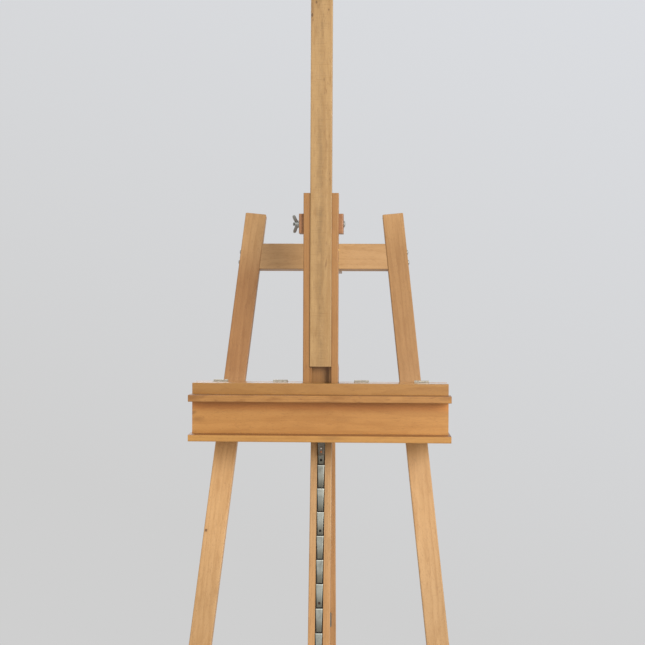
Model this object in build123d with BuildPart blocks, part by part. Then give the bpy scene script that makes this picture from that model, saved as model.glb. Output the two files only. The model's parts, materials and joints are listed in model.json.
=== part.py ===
from build123d import *
import math
import os

# Wooden studio easel: two splayed front legs and a centre post in one plane that leans
# back, a hinged rear leg, and a tray with a telescopic mast that climbs the post.
# Millimetres, +Z up, viewer at -Y, origin on the floor at the middle of the bounding box.

# ---------------------------------------------------------------- driving dimensions
LEDGE_Z = 900.0            # top of the canvas ledge above the floor
Y0 = -336.36               # front edge of the canvas ledge
LEAN = 14.0                # the front frame leans back this much
SPREAD = 17.0              # the rear leg leans forward this much
POST_Y = Y0 + 170.0        # front face of the post at ledge height

LEG_W, LEG_T = 51.0, 25.0
LEG_X = 213.6              # leg centre line at ledge height
LEG_SPLAY = 0.0992         # sideways run of a leg per unit of its plane
LEG_TOP = 442.0            # leg tops, measured up the frame from the ledge
POST_W, POST_T = 50.0, 32.0
HEAD_S0, HEAD_S1 = 300.0, 365.0
LOW_S0, LOW_S1 = -711.0, -649.0
BAR_T = 25.0

TOOTH_PITCH = 55.0
TOOTH_REST = -127.1        # tooth that holds the pawl at rest

LEDGE_W, BOARD_W = 596.0, 588.0
LEDGE_D = 42.0             # how far both ledges stand out
LEDGE_T, LOWER_T = 18.5, 15.0   # ledge underside below LEDGE_Z, lower ledge thickness
LEDGE_TOP = -3.0           # canvas surface, from LEDGE_Z
RAIL_H = 22.0              # front board above the canvas ledge
BOX_B = -93.5              # inside floor of the brush boxes
FRONT_T, BACK_T, END_T = 16.0, 12.0, 12.0
BOX_Y0 = Y0 + LEDGE_D + FRONT_T
BOX_Y1 = Y0 + 104.0
LID_T = 6.0

CHAN_W, CHAN_TOP = 81.0, 460.0
MAST_W, MAST_D = 50.0, 28.0
MAST_Y = Y0 + 58.3         # front face of the sliding mast
MAST_BOT, MAST_TOP = 60.0, 1150.0
YOKE_W, YOKE_Z0, YOKE_Z1 = 103.0, 368.0, 413.0

PIVOT_Y, PIVOT_Z = Y0 + 131.0, LEDGE_Z - 90.0    # tray tilt axis
TILT_R = 62.0              # radius of the tilt slots

HINGE_B, HINGE_S = 100.5, 332.0                  # rear leg pin, behind / up the frame
STAY_AB, STAY_AS = 58.0, -680.0                  # front stay pivot
STAY_OFF, STAY_L = 25.5, 1012.0                  # rear stay pivot, ahead of / along the leg

c, s = math.cos(math.radians(LEAN)), math.sin(math.radians(LEAN))
FRONT = Plane(origin=(0, POST_Y, LEDGE_Z), x_dir=(1, 0, 0), z_dir=(0, -c, s))


def side(x):
    """Plane across the frame: local x runs back from the post's face, local y up it."""
    return Plane(origin=(x, POST_Y, LEDGE_Z), x_dir=(0, c, -s), z_dir=(1, 0, 0))


def world(b, u):
    """World (y, z) of a point b behind the post's face and u up the frame."""
    return POST_Y + b * c + u * s, LEDGE_Z - b * s + u * c


def local(y, z):
    """Inverse of world: (b, u)."""
    dy, dz = y - POST_Y, z - LEDGE_Z
    return dy * c - dz * s, dy * s + dz * c


os.makedirs("parts", exist_ok=True)
made = []


def save(block, label):
    block.part.label = label
    export_step(block.part, "parts/" + label + ".step")
    made.append(label)


def leg_x(u):
    return LEG_X - LEG_SPLAY * u


# ---------------------------------------------------------------- front frame
def leg_outline(sign, u0, u1):
    k = math.sqrt(1 + LEG_SPLAY ** 2)
    h = LEG_W / 2
    # square ends: the end line is perpendicular to the leg's centre line
    dx, du = h / k, h * LEG_SPLAY / k
    pts = []
    for u, e in ((u0, -1), (u0, 1), (u1, 1), (u1, -1)):
        pts.append((sign * (leg_x(u) + e * dx), u + e * du))
    return pts


for name, sign in (("left_front_leg", -1), ("right_front_leg", 1)):
    with BuildPart() as leg:
        with BuildSketch(FRONT):
            with BuildLine():
                Polyline(*leg_outline(sign, -990.0, LEG_TOP), close=True)
            make_face()
        extrude(amount=-LEG_T)
        fillet(leg.edges().filter_by(lambda e: e.length > 300), 2.2)
        split(bisect_by=Plane.XY, keep=Keep.TOP)
        chamfer(leg.faces().sort_by(Axis.Z)[-1].edges().filter_by(lambda e: e.length > 18), 1.2)
    save(leg, name)

with BuildPart() as post:
    with BuildSketch(FRONT):
        with Locations((0, (LOW_S0 + HEAD_S1) / 2)):
            Rectangle(POST_W, HEAD_S1 - LOW_S0)
    extrude(amount=-POST_T)
    fillet(post.edges().filter_by(lambda e: e.length > 300), 1.8)
    # groove for the rack
    with BuildSketch(FRONT):
        with Locations((0, (LOW_S1 + HEAD_S0) / 2)):
            Rectangle(18.4, HEAD_S0 - LOW_S1)
    extrude(amount=-4.0, mode=Mode.SUBTRACT)
    # half laps over the two crossbars
    with BuildSketch(FRONT.offset(-12.0)):
        with Locations((0, (HEAD_S0 + HEAD_S1 + 4) / 2), (0, (LOW_S0 + LOW_S1 - 4) / 2)):
            Rectangle(POST_W + 10, HEAD_S1 - HEAD_S0 + 4)
    extrude(amount=-30.0, mode=Mode.SUBTRACT)
save(post, "centre_post")


def crossbar(u0, u1):
    """Outline between the legs' inner edges."""
    h = LEG_W / 2 * math.sqrt(1 + LEG_SPLAY ** 2)
    a, b = leg_x(u0) - h - 0.05, leg_x(u1) - h - 0.05
    return [(-a, u0), (a, u0), (b, u1), (-b, u1)]


for name, u0, u1 in (("head_crossbar", HEAD_S0, HEAD_S1), ("lower_crossbar", LOW_S0, LOW_S1)):
    with BuildPart() as bar:
        with BuildSketch(FRONT.offset(-1.5)):
            with BuildLine():
                Polyline(*crossbar(u0, u1), close=True)
            make_face()
        extrude(amount=-BAR_T + 3.0)
        fillet(bar.edges().filter_by(Axis.X), 2.0)
        with BuildSketch(FRONT):
            with Locations((0, (u0 + u1) / 2)):
                Rectangle(POST_W + 0.1, u1 - u0 + 10)
        extrude(amount=-12.05, mode=Mode.SUBTRACT)
    save(bar, name)

# ---------------------------------------------------------------- rack on the post
with BuildPart() as rack:
    with BuildSketch(FRONT.offset(-3.9)):
        with Locations((0, (LOW_S1 + HEAD_S0) / 2)):
            Rectangle(17.4, HEAD_S0 - LOW_S1 - 3)
    extrude(amount=1.5)
    teeth = [TOOTH_REST + TOOTH_PITCH * k for k in range(-8, 8)]
    for u in teeth:
        with BuildSketch(FRONT.offset(-2.4)):
            with BuildLine():
                Polyline((-8.0, u), (8.0, u), (5.7, u - 51.5), (-5.7, u - 51.5), close=True)
            make_face()
        extrude(amount=5.2)
    for u in teeth:
        with BuildSketch(side(-12)):
            with BuildLine():
                Polyline((-2.3, u + 0.01), (2.2, u - 52), (-12, u - 52), (-12, u + 0.01), close=True)
            make_face()
        extrude(amount=24, mode=Mode.SUBTRACT)
    # every third tooth is pierced for a screw near its root
    with BuildSketch(FRONT.offset(10)):
        with Locations(*[(0, teeth[k] - 42.5) for k in range(2, len(teeth), 3)]):
            Circle(2.6)
    extrude(amount=-12.4, mode=Mode.SUBTRACT)
save(rack, "ratchet_strip")

with BuildPart() as rack_screws:
    with BuildSketch(FRONT.offset(-2.38)):
        with Locations(*[(0, teeth[k] - 42.5) for k in range(2, len(teeth), 3)]):
            Circle(2.5)
    extrude(amount=0.9)
    with BuildSketch(FRONT.offset(-1.48)):
        with Locations(*[(0, teeth[k] - 42.5) for k in range(2, len(teeth), 3)]):
            Rectangle(3.6, 0.7)
    extrude(amount=-0.5, mode=Mode.SUBTRACT)
save(rack_screws, "ratchet_screws")

# bolts that pull the legs onto the crossbars: domed heads on the legs' outer edges
for name, us in (("head_bolts", (320.0, 346.0)), ("lower_bolts", (-695.0, -665.0))):
    with BuildPart() as bolts:
        for sign in (-1, 1):
            k = math.sqrt(1 + LEG_SPLAY ** 2)
            for u in us:
                y, z = world(LEG_T / 2, u)
                x = sign * (leg_x(u) + LEG_W / 2 * k + 0.05)
                # outward normal of the leg's edge
                nx, nu = sign / k, LEG_SPLAY / k
                pl = Plane(origin=(x, y, z), z_dir=(nx, nu * s, nu * c))
                with BuildSketch(pl):
                    Circle(6.5)
                extrude(amount=3.0, taper=18)
    save(bolts, name)

# ---------------------------------------------------------------- rear leg hinge
HY, HZ = world(HINGE_B, HINGE_S)
for name, x0 in (("rear_hinge_block_left", -43.5), ("rear_hinge_block_right", 25.5)):
    with BuildPart() as block:
        with BuildSketch(side(x0)):
            with BuildLine():
                Polyline((BAR_T - 1.5, HEAD_S0), (HINGE_B, HINGE_S - 16), (HINGE_B, HINGE_S + 16), (BAR_T - 1.5, HEAD_S1), close=True)
            make_face()
            with Locations((HINGE_B, HINGE_S)):
                Circle(16)
        extrude(amount=18)
        with BuildSketch(side(x0 - 1)):
            with Locations((HINGE_B, HINGE_S)):
                Circle(4.03)
        extrude(amount=20, mode=Mode.SUBTRACT)
    save(block, name)

with BuildPart() as hinge_bolt:
    with BuildSketch(side(-43.6)):
        with Locations((HINGE_B, HINGE_S)):
            Circle(4.0)
    extrude(amount=93.0)
    with BuildSketch(side(-43.6)):
        with Locations((HINGE_B, HINGE_S)):
            Circle(9.0)
    extrude(amount=-4.0, taper=12)
    with BuildSketch(side(43.6)):
        with Locations((HINGE_B, HINGE_S)):
            RegularPolygon(7.5, 6)
    extrude(amount=5.0)
save(hinge_bolt, "rear_hinge_bolt")

# screws through the head crossbar's front into the hinge blocks
with BuildPart() as block_screws:
    with BuildSketch(FRONT.offset(-1.45)):
        with Locations(*[(x, u) for x in (-34.5, 34.5) for u in (316, 349)]):
            Circle(4.5)
    extrude(amount=1.2, taper=20)
save(block_screws, "hinge_block_screws")

# rear leg, its own plane: local x across, local y down the leg
ps = math.radians(SPREAD)
LEGDIR = (0, math.sin(ps), -math.cos(ps))


def rear(x):
    """Plane across the rear leg: local x runs forward of its centre line, local y down it."""
    return Plane(origin=(x, HY, HZ), x_dir=(0, math.cos(ps), math.sin(ps)), z_dir=(-1, 0, 0))


REAR_L = HZ / math.cos(ps)
with BuildPart() as rear_leg:
    with BuildSketch(rear(25.0)):
        with Locations((0, REAR_L / 2 + 20)):
            Rectangle(LEG_T, REAR_L + 40)
        Circle(LEG_T / 2)
    extrude(amount=50.0)
    fillet(rear_leg.edges().filter_by(lambda e: e.length > 300), 2.0)
    split(bisect_by=Plane.XY, keep=Keep.TOP)
    with BuildSketch(rear(30.0)):
        Circle(4.06)
    extrude(amount=60.0, mode=Mode.SUBTRACT)
save(rear_leg, "rear_leg")

# ---------------------------------------------------------------- folding stay
ang = math.radians(LEAN + SPREAD)
BB = HINGE_B + STAY_L * math.sin(ang) - STAY_OFF * math.cos(ang)
BS = HINGE_S - STAY_L * math.cos(ang) - STAY_OFF * math.sin(ang)
AY, AZ = world(STAY_AB, STAY_AS)
BY, BZ = world(BB, BS)
KY, KZ = (AY + BY) / 2, (AZ + BZ) / 2
print("stay pivots", (AY, AZ), (BY, BZ), "half", math.hypot(BY - AY, BZ - AZ) / 2)

with BuildPart() as stay_front:
    with BuildSketch(side(-13)):
        with Locations((BAR_T - 1.5 + 1.5, STAY_AS)):
            Rectangle(3.0, 46)
    extrude(amount=26)
    with BuildSketch(side(3.7)):
        with BuildLine():
            Polyline((BAR_T, STAY_AS - 12), (STAY_AB, STAY_AS - 8), (STAY_AB, STAY_AS + 8), (BAR_T, STAY_AS + 12), close=True)
        make_face()
        with Locations((STAY_AB, STAY_AS)):
            Circle(8)
    extrude(amount=3)
    with BuildSketch(side(0.0)):
        with Locations((STAY_AB, STAY_AS)):
            Circle(3.0)
    extrude(amount=8.5)
save(stay_front, "stay_bracket_front")

with BuildPart() as stay_rear:
    with BuildSketch(rear(13)):
        with Locations((-(LEG_T / 2 + 1.55), STAY_L)):
            Rectangle(3.0, 46)
    extrude(amount=26)
    with BuildSketch(rear(-3.7)):
        with BuildLine():
            Polyline((-LEG_T / 2 - 2, STAY_L - 12), (-STAY_OFF, STAY_L - 8), (-STAY_OFF, STAY_L + 8), (-LEG_T / 2 - 2, STAY_L + 12), close=True)
        make_face()
        with Locations((-STAY_OFF, STAY_L)):
            Circle(8)
    extrude(amount=3)
    with BuildSketch(rear(0.0)):
        with Locations((-STAY_OFF, STAY_L)):
            Circle(3.0)
    extrude(amount=8.5)
save(stay_rear, "stay_bracket_rear")


def bar_plane(x, py, pz):
    d = math.hypot(KY - py, KZ - pz)
    return Plane(origin=(x, py, pz), x_dir=(0, (KY - py) / d, (KZ - pz) / d), z_dir=(1, 0, 0)), d


for name, x0, (py, pz), head in (("stay_front_bar", 0.4, (AY, AZ), 1), ("stay_rear_bar", -3.4, (BY, BZ), -1)):
    pl, d = bar_plane(x0, py, pz)
    with BuildPart() as sbar:
        with BuildSketch(pl):
            with Locations((d / 2, 0)):
                SlotCenterToCenter(d, 15)
        extrude(amount=3.0)
        with BuildSketch(pl.offset(-1)):
            Circle(3.06)
        extrude(amount=5.0, mode=Mode.SUBTRACT)
        with BuildSketch(pl.offset(3.0 if head > 0 else 0.0)):
            with Locations((d, 0)):
                Circle(5.0)
        extrude(amount=2.0 * head, taper=25)
    save(sbar, name)

# ---------------------------------------------------------------- carriage on the post
CH_IN, CH_OUT = POST_W / 2 + 0.4, POST_W / 2 + 14.4
pb, pu = local(PIVOT_Y, PIVOT_Z)
lock_u = pu + TILT_R
PAWL_B, PAWL_U = -10.0, -107.0
print("pivot local", pb, pu, "lock", world(pb, lock_u), "pawl pin", world(PAWL_B, PAWL_U))
CAR_U0, CAR_U1 = -118.0, 60.0


def cheek_profile():
    return [(POST_T + 0.6, CAR_U0), (-13.0, CAR_U0), (-24.0, pu - 8.0), (-24.0, lock_u + 10.0), (-12.0, lock_u + 24.0), (-12.0, CAR_U1), (POST_T + 0.6, CAR_U1)]


for name, x0 in (("carriage_cheek_left", -CH_OUT), ("carriage_cheek_right", CH_IN)):
    with BuildPart() as cheek:
        with BuildSketch(side(x0)):
            with BuildLine():
                Polyline(*cheek_profile(), close=True)
            make_face()
        extrude(amount=CH_OUT - CH_IN)
        fillet(cheek.edges().filter_by(Axis.X).filter_by(lambda e: local(e.center().Y, e.center().Z)[0] < -11), 3.0)
        with BuildSketch(side(x0 - 1)):
            with Locations((pb, pu), (pb, lock_u)):
                Circle(4.02)
            with Locations((PAWL_B, PAWL_U)):
                Circle(2.52)
        extrude(amount=20, mode=Mode.SUBTRACT)
    save(cheek, name)

with BuildPart() as car_front:
    with BuildSketch(FRONT.offset(0.7)):
        with Locations((0, (-80 + CAR_U1) / 2)):
            Rectangle(2 * CH_IN - 0.04, CAR_U1 + 80)
    extrude(amount=11.2)
    with BuildSketch(FRONT.offset(0.6)):
        with Locations((0, (-80 + CAR_U1) / 2)):
            Rectangle(20, CAR_U1 + 90)
    extrude(amount=3.4, mode=Mode.SUBTRACT)
save(car_front, "carriage_front_plate")

with BuildPart() as car_back:
    with BuildSketch(FRONT.offset(-POST_T - 0.7)):
        with Locations((0, (CAR_U0 + CAR_U1) / 2)):
            Rectangle(2 * CH_OUT, CAR_U1 - CAR_U0)
    extrude(amount=-14.0)
    fillet(car_back.edges().group_by(Axis.Y)[-1].edges(), 2.0)
save(car_back, "carriage_back_plate")

with BuildPart() as car_screws:
    with BuildSketch(FRONT.offset(-POST_T - 14.7)):
        with Locations(*[(x, u) for x in (-32.4, 32.4) for u in (CAR_U0 + 20, (CAR_U0 + CAR_U1) / 2, CAR_U1 - 20)]):
            Circle(4.0)
    extrude(amount=-1.4, taper=20)
save(car_screws, "carriage_screws")

ARM_IN, ARM_OUT = CH_OUT + 0.4, CH_OUT + 12.4
with BuildPart() as pivot_bolt:
    with BuildSketch(side(-ARM_OUT - 0.6)):
        with Locations((pb, pu)):
            Circle(4.0)
    extrude(amount=2 * ARM_OUT + 4.6)
    with BuildSketch(side(-ARM_OUT - 0.4)):
        with Locations((pb, pu)):
            Circle(8.0)
    extrude(amount=-3.6, taper=15)
    with BuildSketch(side(ARM_OUT + 0.4)):
        with Locations((pb, pu)):
            RegularPolygon(7.2, 6)
    extrude(amount=5.0)
save(pivot_bolt, "tilt_pivot_bolt")

with BuildPart() as lock_bolt:
    with BuildSketch(side(-ARM_OUT - 15.0)):
        with Locations((pb, lock_u)):
            Circle(4.0)
    extrude(amount=2 * ARM_OUT + 30.0)
save(lock_bolt, "tilt_lock_bolt")

with BuildPart() as pawl_pin:
    with BuildSketch(side(-CH_OUT + 0.1)):
        with Locations((PAWL_B, PAWL_U)):
            Circle(2.5)
    extrude(amount=2 * CH_OUT - 0.2)
save(pawl_pin, "pawl_pin")

# pawl: steel lever hanging on its pin, nose over a rack tooth, tail for the finger;
# the underside of the nose is an arc about the pin so that it swings clear of the tooth
NOSE_R = 21.2


def nose(b):
    return (b, PAWL_U - math.sqrt(NOSE_R ** 2 - (b - PAWL_B) ** 2))


with BuildPart() as pawl:
    with BuildSketch(side(-6.3)):
        with BuildLine():
            Polyline(nose(1.0), (1.0, -121.6), (-4.6, -110.0), (-15.0, -110.0), (-7.9, -127.5), (-7.9, -154.5),
                     (-9.9, -158.6), (-8.2, -159.8), (-5.4, -155.4), nose(-5.4))
            ThreePointArc(nose(-5.4), nose(-2.0), nose(1.0))
        make_face()
        with Locations((PAWL_B, PAWL_U)):
            Circle(5.4)
    extrude(amount=12.6)
    with BuildSketch(side(-8)):
        with Locations((PAWL_B, PAWL_U)):
            Circle(2.55)
    extrude(amount=16, mode=Mode.SUBTRACT)
save(pawl, "pawl")

with BuildPart() as pawl_rivets:
    with BuildSketch(FRONT.offset(7.9)):
        with Locations((0, -142.6), (0, -151.2)):
            Circle(2.1)
    extrude(amount=1.1, taper=30)
save(pawl_rivets, "pawl_rivets")


# ---------------------------------------------------------------- tray
def board(x0, x1, y0, y1, z0, z1, r=1.5, keep=None):
    """Straight board with eased long edges; y counts from the ledge's front edge, z from its top."""
    with BuildPart() as b:
        with BuildSketch(Plane.XY.offset(LEDGE_Z + z0)):
            with Locations(((x0 + x1) / 2, Y0 + (y0 + y1) / 2)):
                Rectangle(x1 - x0, y1 - y0)
        extrude(amount=z1 - z0)
        if r:
            es = b.edges().filter_by(Axis.X)
            if keep:
                es = es.filter_by(keep)
            fillet(es, r)
    return b


BX = BOARD_W / 2
front_board = board(-BX, BX, LEDGE_D, LEDGE_D + FRONT_T, BOX_B, RAIL_H, 1.6, lambda e: e.center().Z > LEDGE_Z)
save(front_board, "tray_front_board")
back_board = board(-BX, BX, 104, 104 + BACK_T, BOX_B, RAIL_H, 1.4, lambda e: e.center().Z > LEDGE_Z and e.center().Y > Y0 + 110)
save(back_board, "tray_back_board")
bottom_board = board(-LEDGE_W / 2, LEDGE_W / 2, 0, 104 + BACK_T, BOX_B - LOWER_T, BOX_B, 1.8)
save(bottom_board, "tray_bottom_board")
ledge = board(-LEDGE_W / 2, LEDGE_W / 2, 0, LEDGE_D, -LEDGE_T, LEDGE_TOP, 1.8, lambda e: e.center().Y < Y0 + 10)
save(ledge, "canvas_ledge")
for name, x0, x1 in (("tray_end_left", -BX, -BX + END_T), ("tray_end_right", BX - END_T, BX)):
    end = board(x0, x1, LEDGE_D + FRONT_T, 104, BOX_B, RAIL_H - LID_T - 0.3, 0)
    save(end, name)

# telescopic channel that carries the mast
for name, sign in (("channel_cheek_left", -1), ("channel_cheek_right", 1)):
    with BuildPart() as ch:
        with BuildSketch(Plane.XY.offset(LEDGE_Z + BOX_B)):
            with BuildLine():
                Polyline((sign * 25.3, Y0 + 61.3), (sign * CHAN_W / 2, Y0 + 61.3), (sign * CHAN_W / 2, Y0 + 87),
                         (sign * 25.3, Y0 + 87), (sign * 25.3, Y0 + 75.6), (sign * 20.0, Y0 + 75.6),
                         (sign * 20.0, Y0 + 69.0), (sign * 25.3, Y0 + 69.0), close=True)
            make_face()
        extrude(amount=CHAN_TOP - BOX_B)
        fillet(ch.edges().filter_by(Axis.Z).filter_by(lambda e: abs(e.center().X) > 40 and e.center().Y < Y0 + 70), 1.8)
    save(ch, name)

YBY, YBZ = Y0 + 95.5, LEDGE_Z + 390.5
with BuildPart() as chb:
    with BuildSketch(Plane.XY.offset(LEDGE_Z + BOX_B)):
        with Locations((0, Y0 + 95.5)):
            Rectangle(CHAN_W, 17)
    extrude(amount=CHAN_TOP - BOX_B)
    with BuildSketch(Plane.YZ.offset(-60)):
        with Locations((YBY, YBZ)):
            Circle(4.03)
    extrude(amount=120, mode=Mode.SUBTRACT)
save(chb, "channel_back")

with BuildPart() as yoke:
    with BuildSketch(Plane.XY.offset(LEDGE_Z + YOKE_Z0)):
        with Locations((0, Y0 + 95)):
            Rectangle(YOKE_W, 50)
        with Locations((0, Y0 + 87)):
            Rectangle(CHAN_W + 0.1, 34.1, mode=Mode.SUBTRACT)
    extrude(amount=YOKE_Z1 - YOKE_Z0)
    fillet(yoke.edges().filter_by(Axis.Z).filter_by(lambda e: abs(e.center().X) > 45), 2.5)
    with BuildSketch(Plane.YZ.offset(-60)):
        with Locations((YBY, YBZ)):
            Circle(4.03)
    extrude(amount=120, mode=Mode.SUBTRACT)
save(yoke, "clamp_yoke")

with BuildPart() as yoke_bolt:
    with BuildSketch(Plane.YZ.offset(-YOKE_W / 2 - 15)):
        with Locations((YBY, YBZ)):
            Circle(4.0)
    extrude(amount=YOKE_W + 15)
    with BuildSketch(Plane.YZ.offset(YOKE_W / 2)):
        with Locations((YBY, YBZ)):
            Circle(9.0)
    extrude(amount=4.0, taper=25)
save(yoke_bolt, "yoke_bolt")


def wing_nut(x, y, z, sign, lean):
    """Wing nut on a bolt along X; x is its seat, sign the way it faces, lean the wings' angle from upright."""
    with BuildPart() as nut:
        with BuildSketch(Plane(origin=(x, y, z), x_dir=(0, 1, 0), z_dir=(sign, 0, 0))):
            Circle(8.5)
        extrude(amount=10.0, taper=10)
        a = math.radians(lean)
        up = (0, -math.sin(a), math.cos(a))
        nrm = (0, math.cos(a), math.sin(a))
        xd = (sign, 0, 0)
        pl = Plane(origin=(x, y, z), x_dir=xd, z_dir=(0, nrm[1], nrm[2]))
        flip = 1 if abs(pl.y_dir.Z * up[2] + pl.y_dir.Y * up[1]) > 0 else -1
        with BuildSketch(pl.offset(-1.5)):
            for e in (1, -1):
                with BuildLine():
                    Polyline((1.6, e * 3.0), (9.2, e * 3.0), (15.2, e * 20.0), (13.8, e * 25.5), (8.6, e * 25.0), (4.2, e * 12.0), close=True)
                make_face()
        extrude(amount=3.0)
        with BuildSketch(Plane(origin=(x, y, z), x_dir=(0, 1, 0), z_dir=(sign, 0, 0)).offset(-1)):
            Circle(4.08)
        extrude(amount=20, mode=Mode.SUBTRACT)
    return nut


save(wing_nut(-YOKE_W / 2 - 0.4, YBY, YBZ, -1, 40), "yoke_wing_nut")
LY, LZ = world(pb, lock_u)
save(wing_nut(-ARM_OUT - 0.4, LY, LZ, -1, 14), "tilt_wing_nut_left")
save(wing_nut(ARM_OUT + 0.4, LY, LZ, 1, 14), "tilt_wing_nut_right")

# tilt arms behind the tray, with slots about the tilt axis
def polar(r, a):
    """Point at radius r about the tilt axis, a degrees round from the post's direction."""
    t = math.radians(90 - LEAN + a)
    return (PIVOT_Y + r * math.cos(t), PIVOT_Z + r * math.sin(t))


for name, x0 in (("tilt_arm_left", -ARM_OUT), ("tilt_arm_right", ARM_IN)):
    with BuildPart() as arm:
        with BuildSketch(Plane.YZ.offset(x0)):
            with BuildLine():
                Polyline((Y0 + 116, LEDGE_Z - 96), (Y0 + 116, LEDGE_Z + 14), (Y0 + 146, LEDGE_Z + 8), (Y0 + 164, LEDGE_Z - 10),
                         (Y0 + 164, LEDGE_Z - 44), (PIVOT_Y + 13, PIVOT_Z), (PIVOT_Y, PIVOT_Z - 8), close=True)
            make_face()
            with Locations((PIVOT_Y, PIVOT_Z)):
                Circle(13)
        extrude(amount=12.0)
        with BuildSketch(Plane.YZ.offset(x0 - 1)):
            with Locations((PIVOT_Y, PIVOT_Z)):
                Circle(4.06)
            with BuildLine():
                ThreePointArc(polar(TILT_R - 4.45, -12.6), polar(TILT_R - 4.45, 0), polar(TILT_R - 4.45, 12.6))
                ThreePointArc(polar(TILT_R - 4.45, 12.6), polar(TILT_R, 12.6 + math.degrees(4.45 / TILT_R)), polar(TILT_R + 4.45, 12.6))
                ThreePointArc(polar(TILT_R + 4.45, 12.6), polar(TILT_R + 4.45, 0), polar(TILT_R + 4.45, -12.6))
                ThreePointArc(polar(TILT_R + 4.45, -12.6), polar(TILT_R, -12.6 - math.degrees(4.45 / TILT_R)), polar(TILT_R - 4.45, -12.6))
            make_face()
        extrude(amount=14.0, mode=Mode.SUBTRACT)
    save(arm, name)

# ---------------------------------------------------------------- brush box lids
HX_Y, HX_Z = Y0 + 104.0, LEDGE_Z + RAIL_H + 2.5
LEAFS = (95.0, 235.0)
for side_name, sign in (("left", -1), ("right", 1)):
    with BuildPart() as lid:
        with BuildSketch(Plane.XY.offset(LEDGE_Z + RAIL_H - LID_T)):
            with Locations((sign * (42 + BX - 0.6) / 2, Y0 + (58.5 + 103.6) / 2)):
                Rectangle(BX - 0.6 - 42, 103.6 - 58.5)
        extrude(amount=LID_T)
        fillet(lid.edges().filter_by(Axis.X).group_by(Axis.Z)[-1].sort_by(Axis.Y)[0:1], 1.2)
    save(lid, "brush_lid_" + side_name)
    with BuildPart() as leaf:
        for x in LEAFS:
            with BuildSketch(Plane.XY.offset(LEDGE_Z + RAIL_H + 0.02)):
                with Locations((sign * x, Y0 + 95.5)):
                    Rectangle(34, 11)
                with Locations((sign * x - 12.7, Y0 + 102), (sign * x + 12.7, Y0 + 102)):
                    Rectangle(8.6, 3.4)
            extrude(amount=1.1)
            for dx in (-17.0, 8.4):
                with BuildSketch(Plane.YZ.offset(sign * x + dx)):
                    with Locations((HX_Y, HX_Z)):
                        Circle(2.2)
                extrude(amount=8.6)
    save(leaf, "lid_leaves_" + side_name)

with BuildPart() as fixed_leaf:
    for x in (-235.0, -95.0, 95.0, 235.0):
        with BuildSketch(Plane.XY.offset(LEDGE_Z + RAIL_H + 0.02)):
            with Locations((x, Y0 + 110.6)):
                Rectangle(34, 8)
            with Locations((x, Y0 + 106)):
                Rectangle(16, 3.4)
        extrude(amount=1.1)
        with BuildSketch(Plane.YZ.offset(x - 8.0)):
            with Locations((HX_Y, HX_Z)):
                Circle(2.2)
        extrude(amount=16.0)
save(fixed_leaf, "lid_hinge_leaves")

# ---------------------------------------------------------------- mast and upper canvas holder
with BuildPart() as mast:
    with BuildSketch(Plane.XY.offset(LEDGE_Z + MAST_BOT)):
        with Locations((0, MAST_Y + MAST_D / 2)):
            Rectangle(MAST_W, MAST_D)
        with Locations((22.4, Y0 + 72.3), (-22.4, Y0 + 72.3)):
            Rectangle(5.6, 7.4, mode=Mode.SUBTRACT)
    extrude(amount=MAST_TOP - MAST_BOT)
    fillet(mast.edges().filter_by(Axis.Z).filter_by(lambda e: abs(abs(e.center().X) - 25) < 0.1 and (e.center().Y < Y0 + 60 or e.center().Y > Y0 + 85)), 1.8)
    chamfer(mast.faces().sort_by(Axis.Z)[-1].edges(), 1.0)
save(mast, "upper_mast")

HB, HT = 950.0, 1010.0
HM = LEDGE_Z + (HB + HT) / 2
with BuildPart() as holder:
    with BuildSketch(Plane.XY.offset(LEDGE_Z + HB)):
        with Locations((0, Y0 + 73)):
            Rectangle(76, 54)
        with Locations((0, Y0 + 72.3)):
            Rectangle(50.8, 28.8, mode=Mode.SUBTRACT)
    extrude(amount=HT - HB)
    fillet(holder.edges().filter_by(Axis.Z).filter_by(lambda e: abs(e.center().X) > 35), 3.0)
    with BuildSketch(Plane.XZ.offset(-(Y0 + 80))):
        with Locations((0, HM)):
            Circle(4.06)
    extrude(amount=-30, mode=Mode.SUBTRACT)
save(holder, "holder_block")

with BuildPart() as lip:
    with BuildSketch(Plane.YZ.offset(-38)):
        with BuildLine():
            Polyline((Y0 + 46, LEDGE_Z + HB + 2), (Y0 + 14, LEDGE_Z + HB + 2), (Y0 + 14, LEDGE_Z + HB - 12), (Y0 + 4, LEDGE_Z + HB - 12),
                     (Y0 + 4, LEDGE_Z + HB + 16), (Y0 + 46, LEDGE_Z + HB + 24), close=True)
        make_face()
    extrude(amount=76)
    fillet(lip.edges().filter_by(Axis.X).sort_by(Axis.Y)[0:2], 2.5)
save(lip, "holder_lip")

with BuildPart() as knob:
    with BuildSketch(Plane.XZ.offset(-(Y0 + 87.0))):
        with Locations((0, HM)):
            Circle(4.0)
    extrude(amount=-26.0)
    with BuildSketch(Plane.XZ.offset(-(Y0 + 104.0))):
        with Locations((0, HM)):
            Circle(8.0)
    extrude(amount=-9.0)
    with BuildSketch(Plane.XZ.offset(-(Y0 + 110.0))):
        with Locations((0, HM)):
            Circle(14.5)
            with PolarLocations(15.0, 5):
                Circle(5.0)
    extrude(amount=-14.0)
    fillet(knob.faces().sort_by(Axis.Y)[-1].edges(), 1.5)
save(knob, "holder_knob")

print(len(made), "nodes")
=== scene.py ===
import json
import math
import random

import bmesh
import bpy
from mathutils import Matrix, Vector

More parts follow.
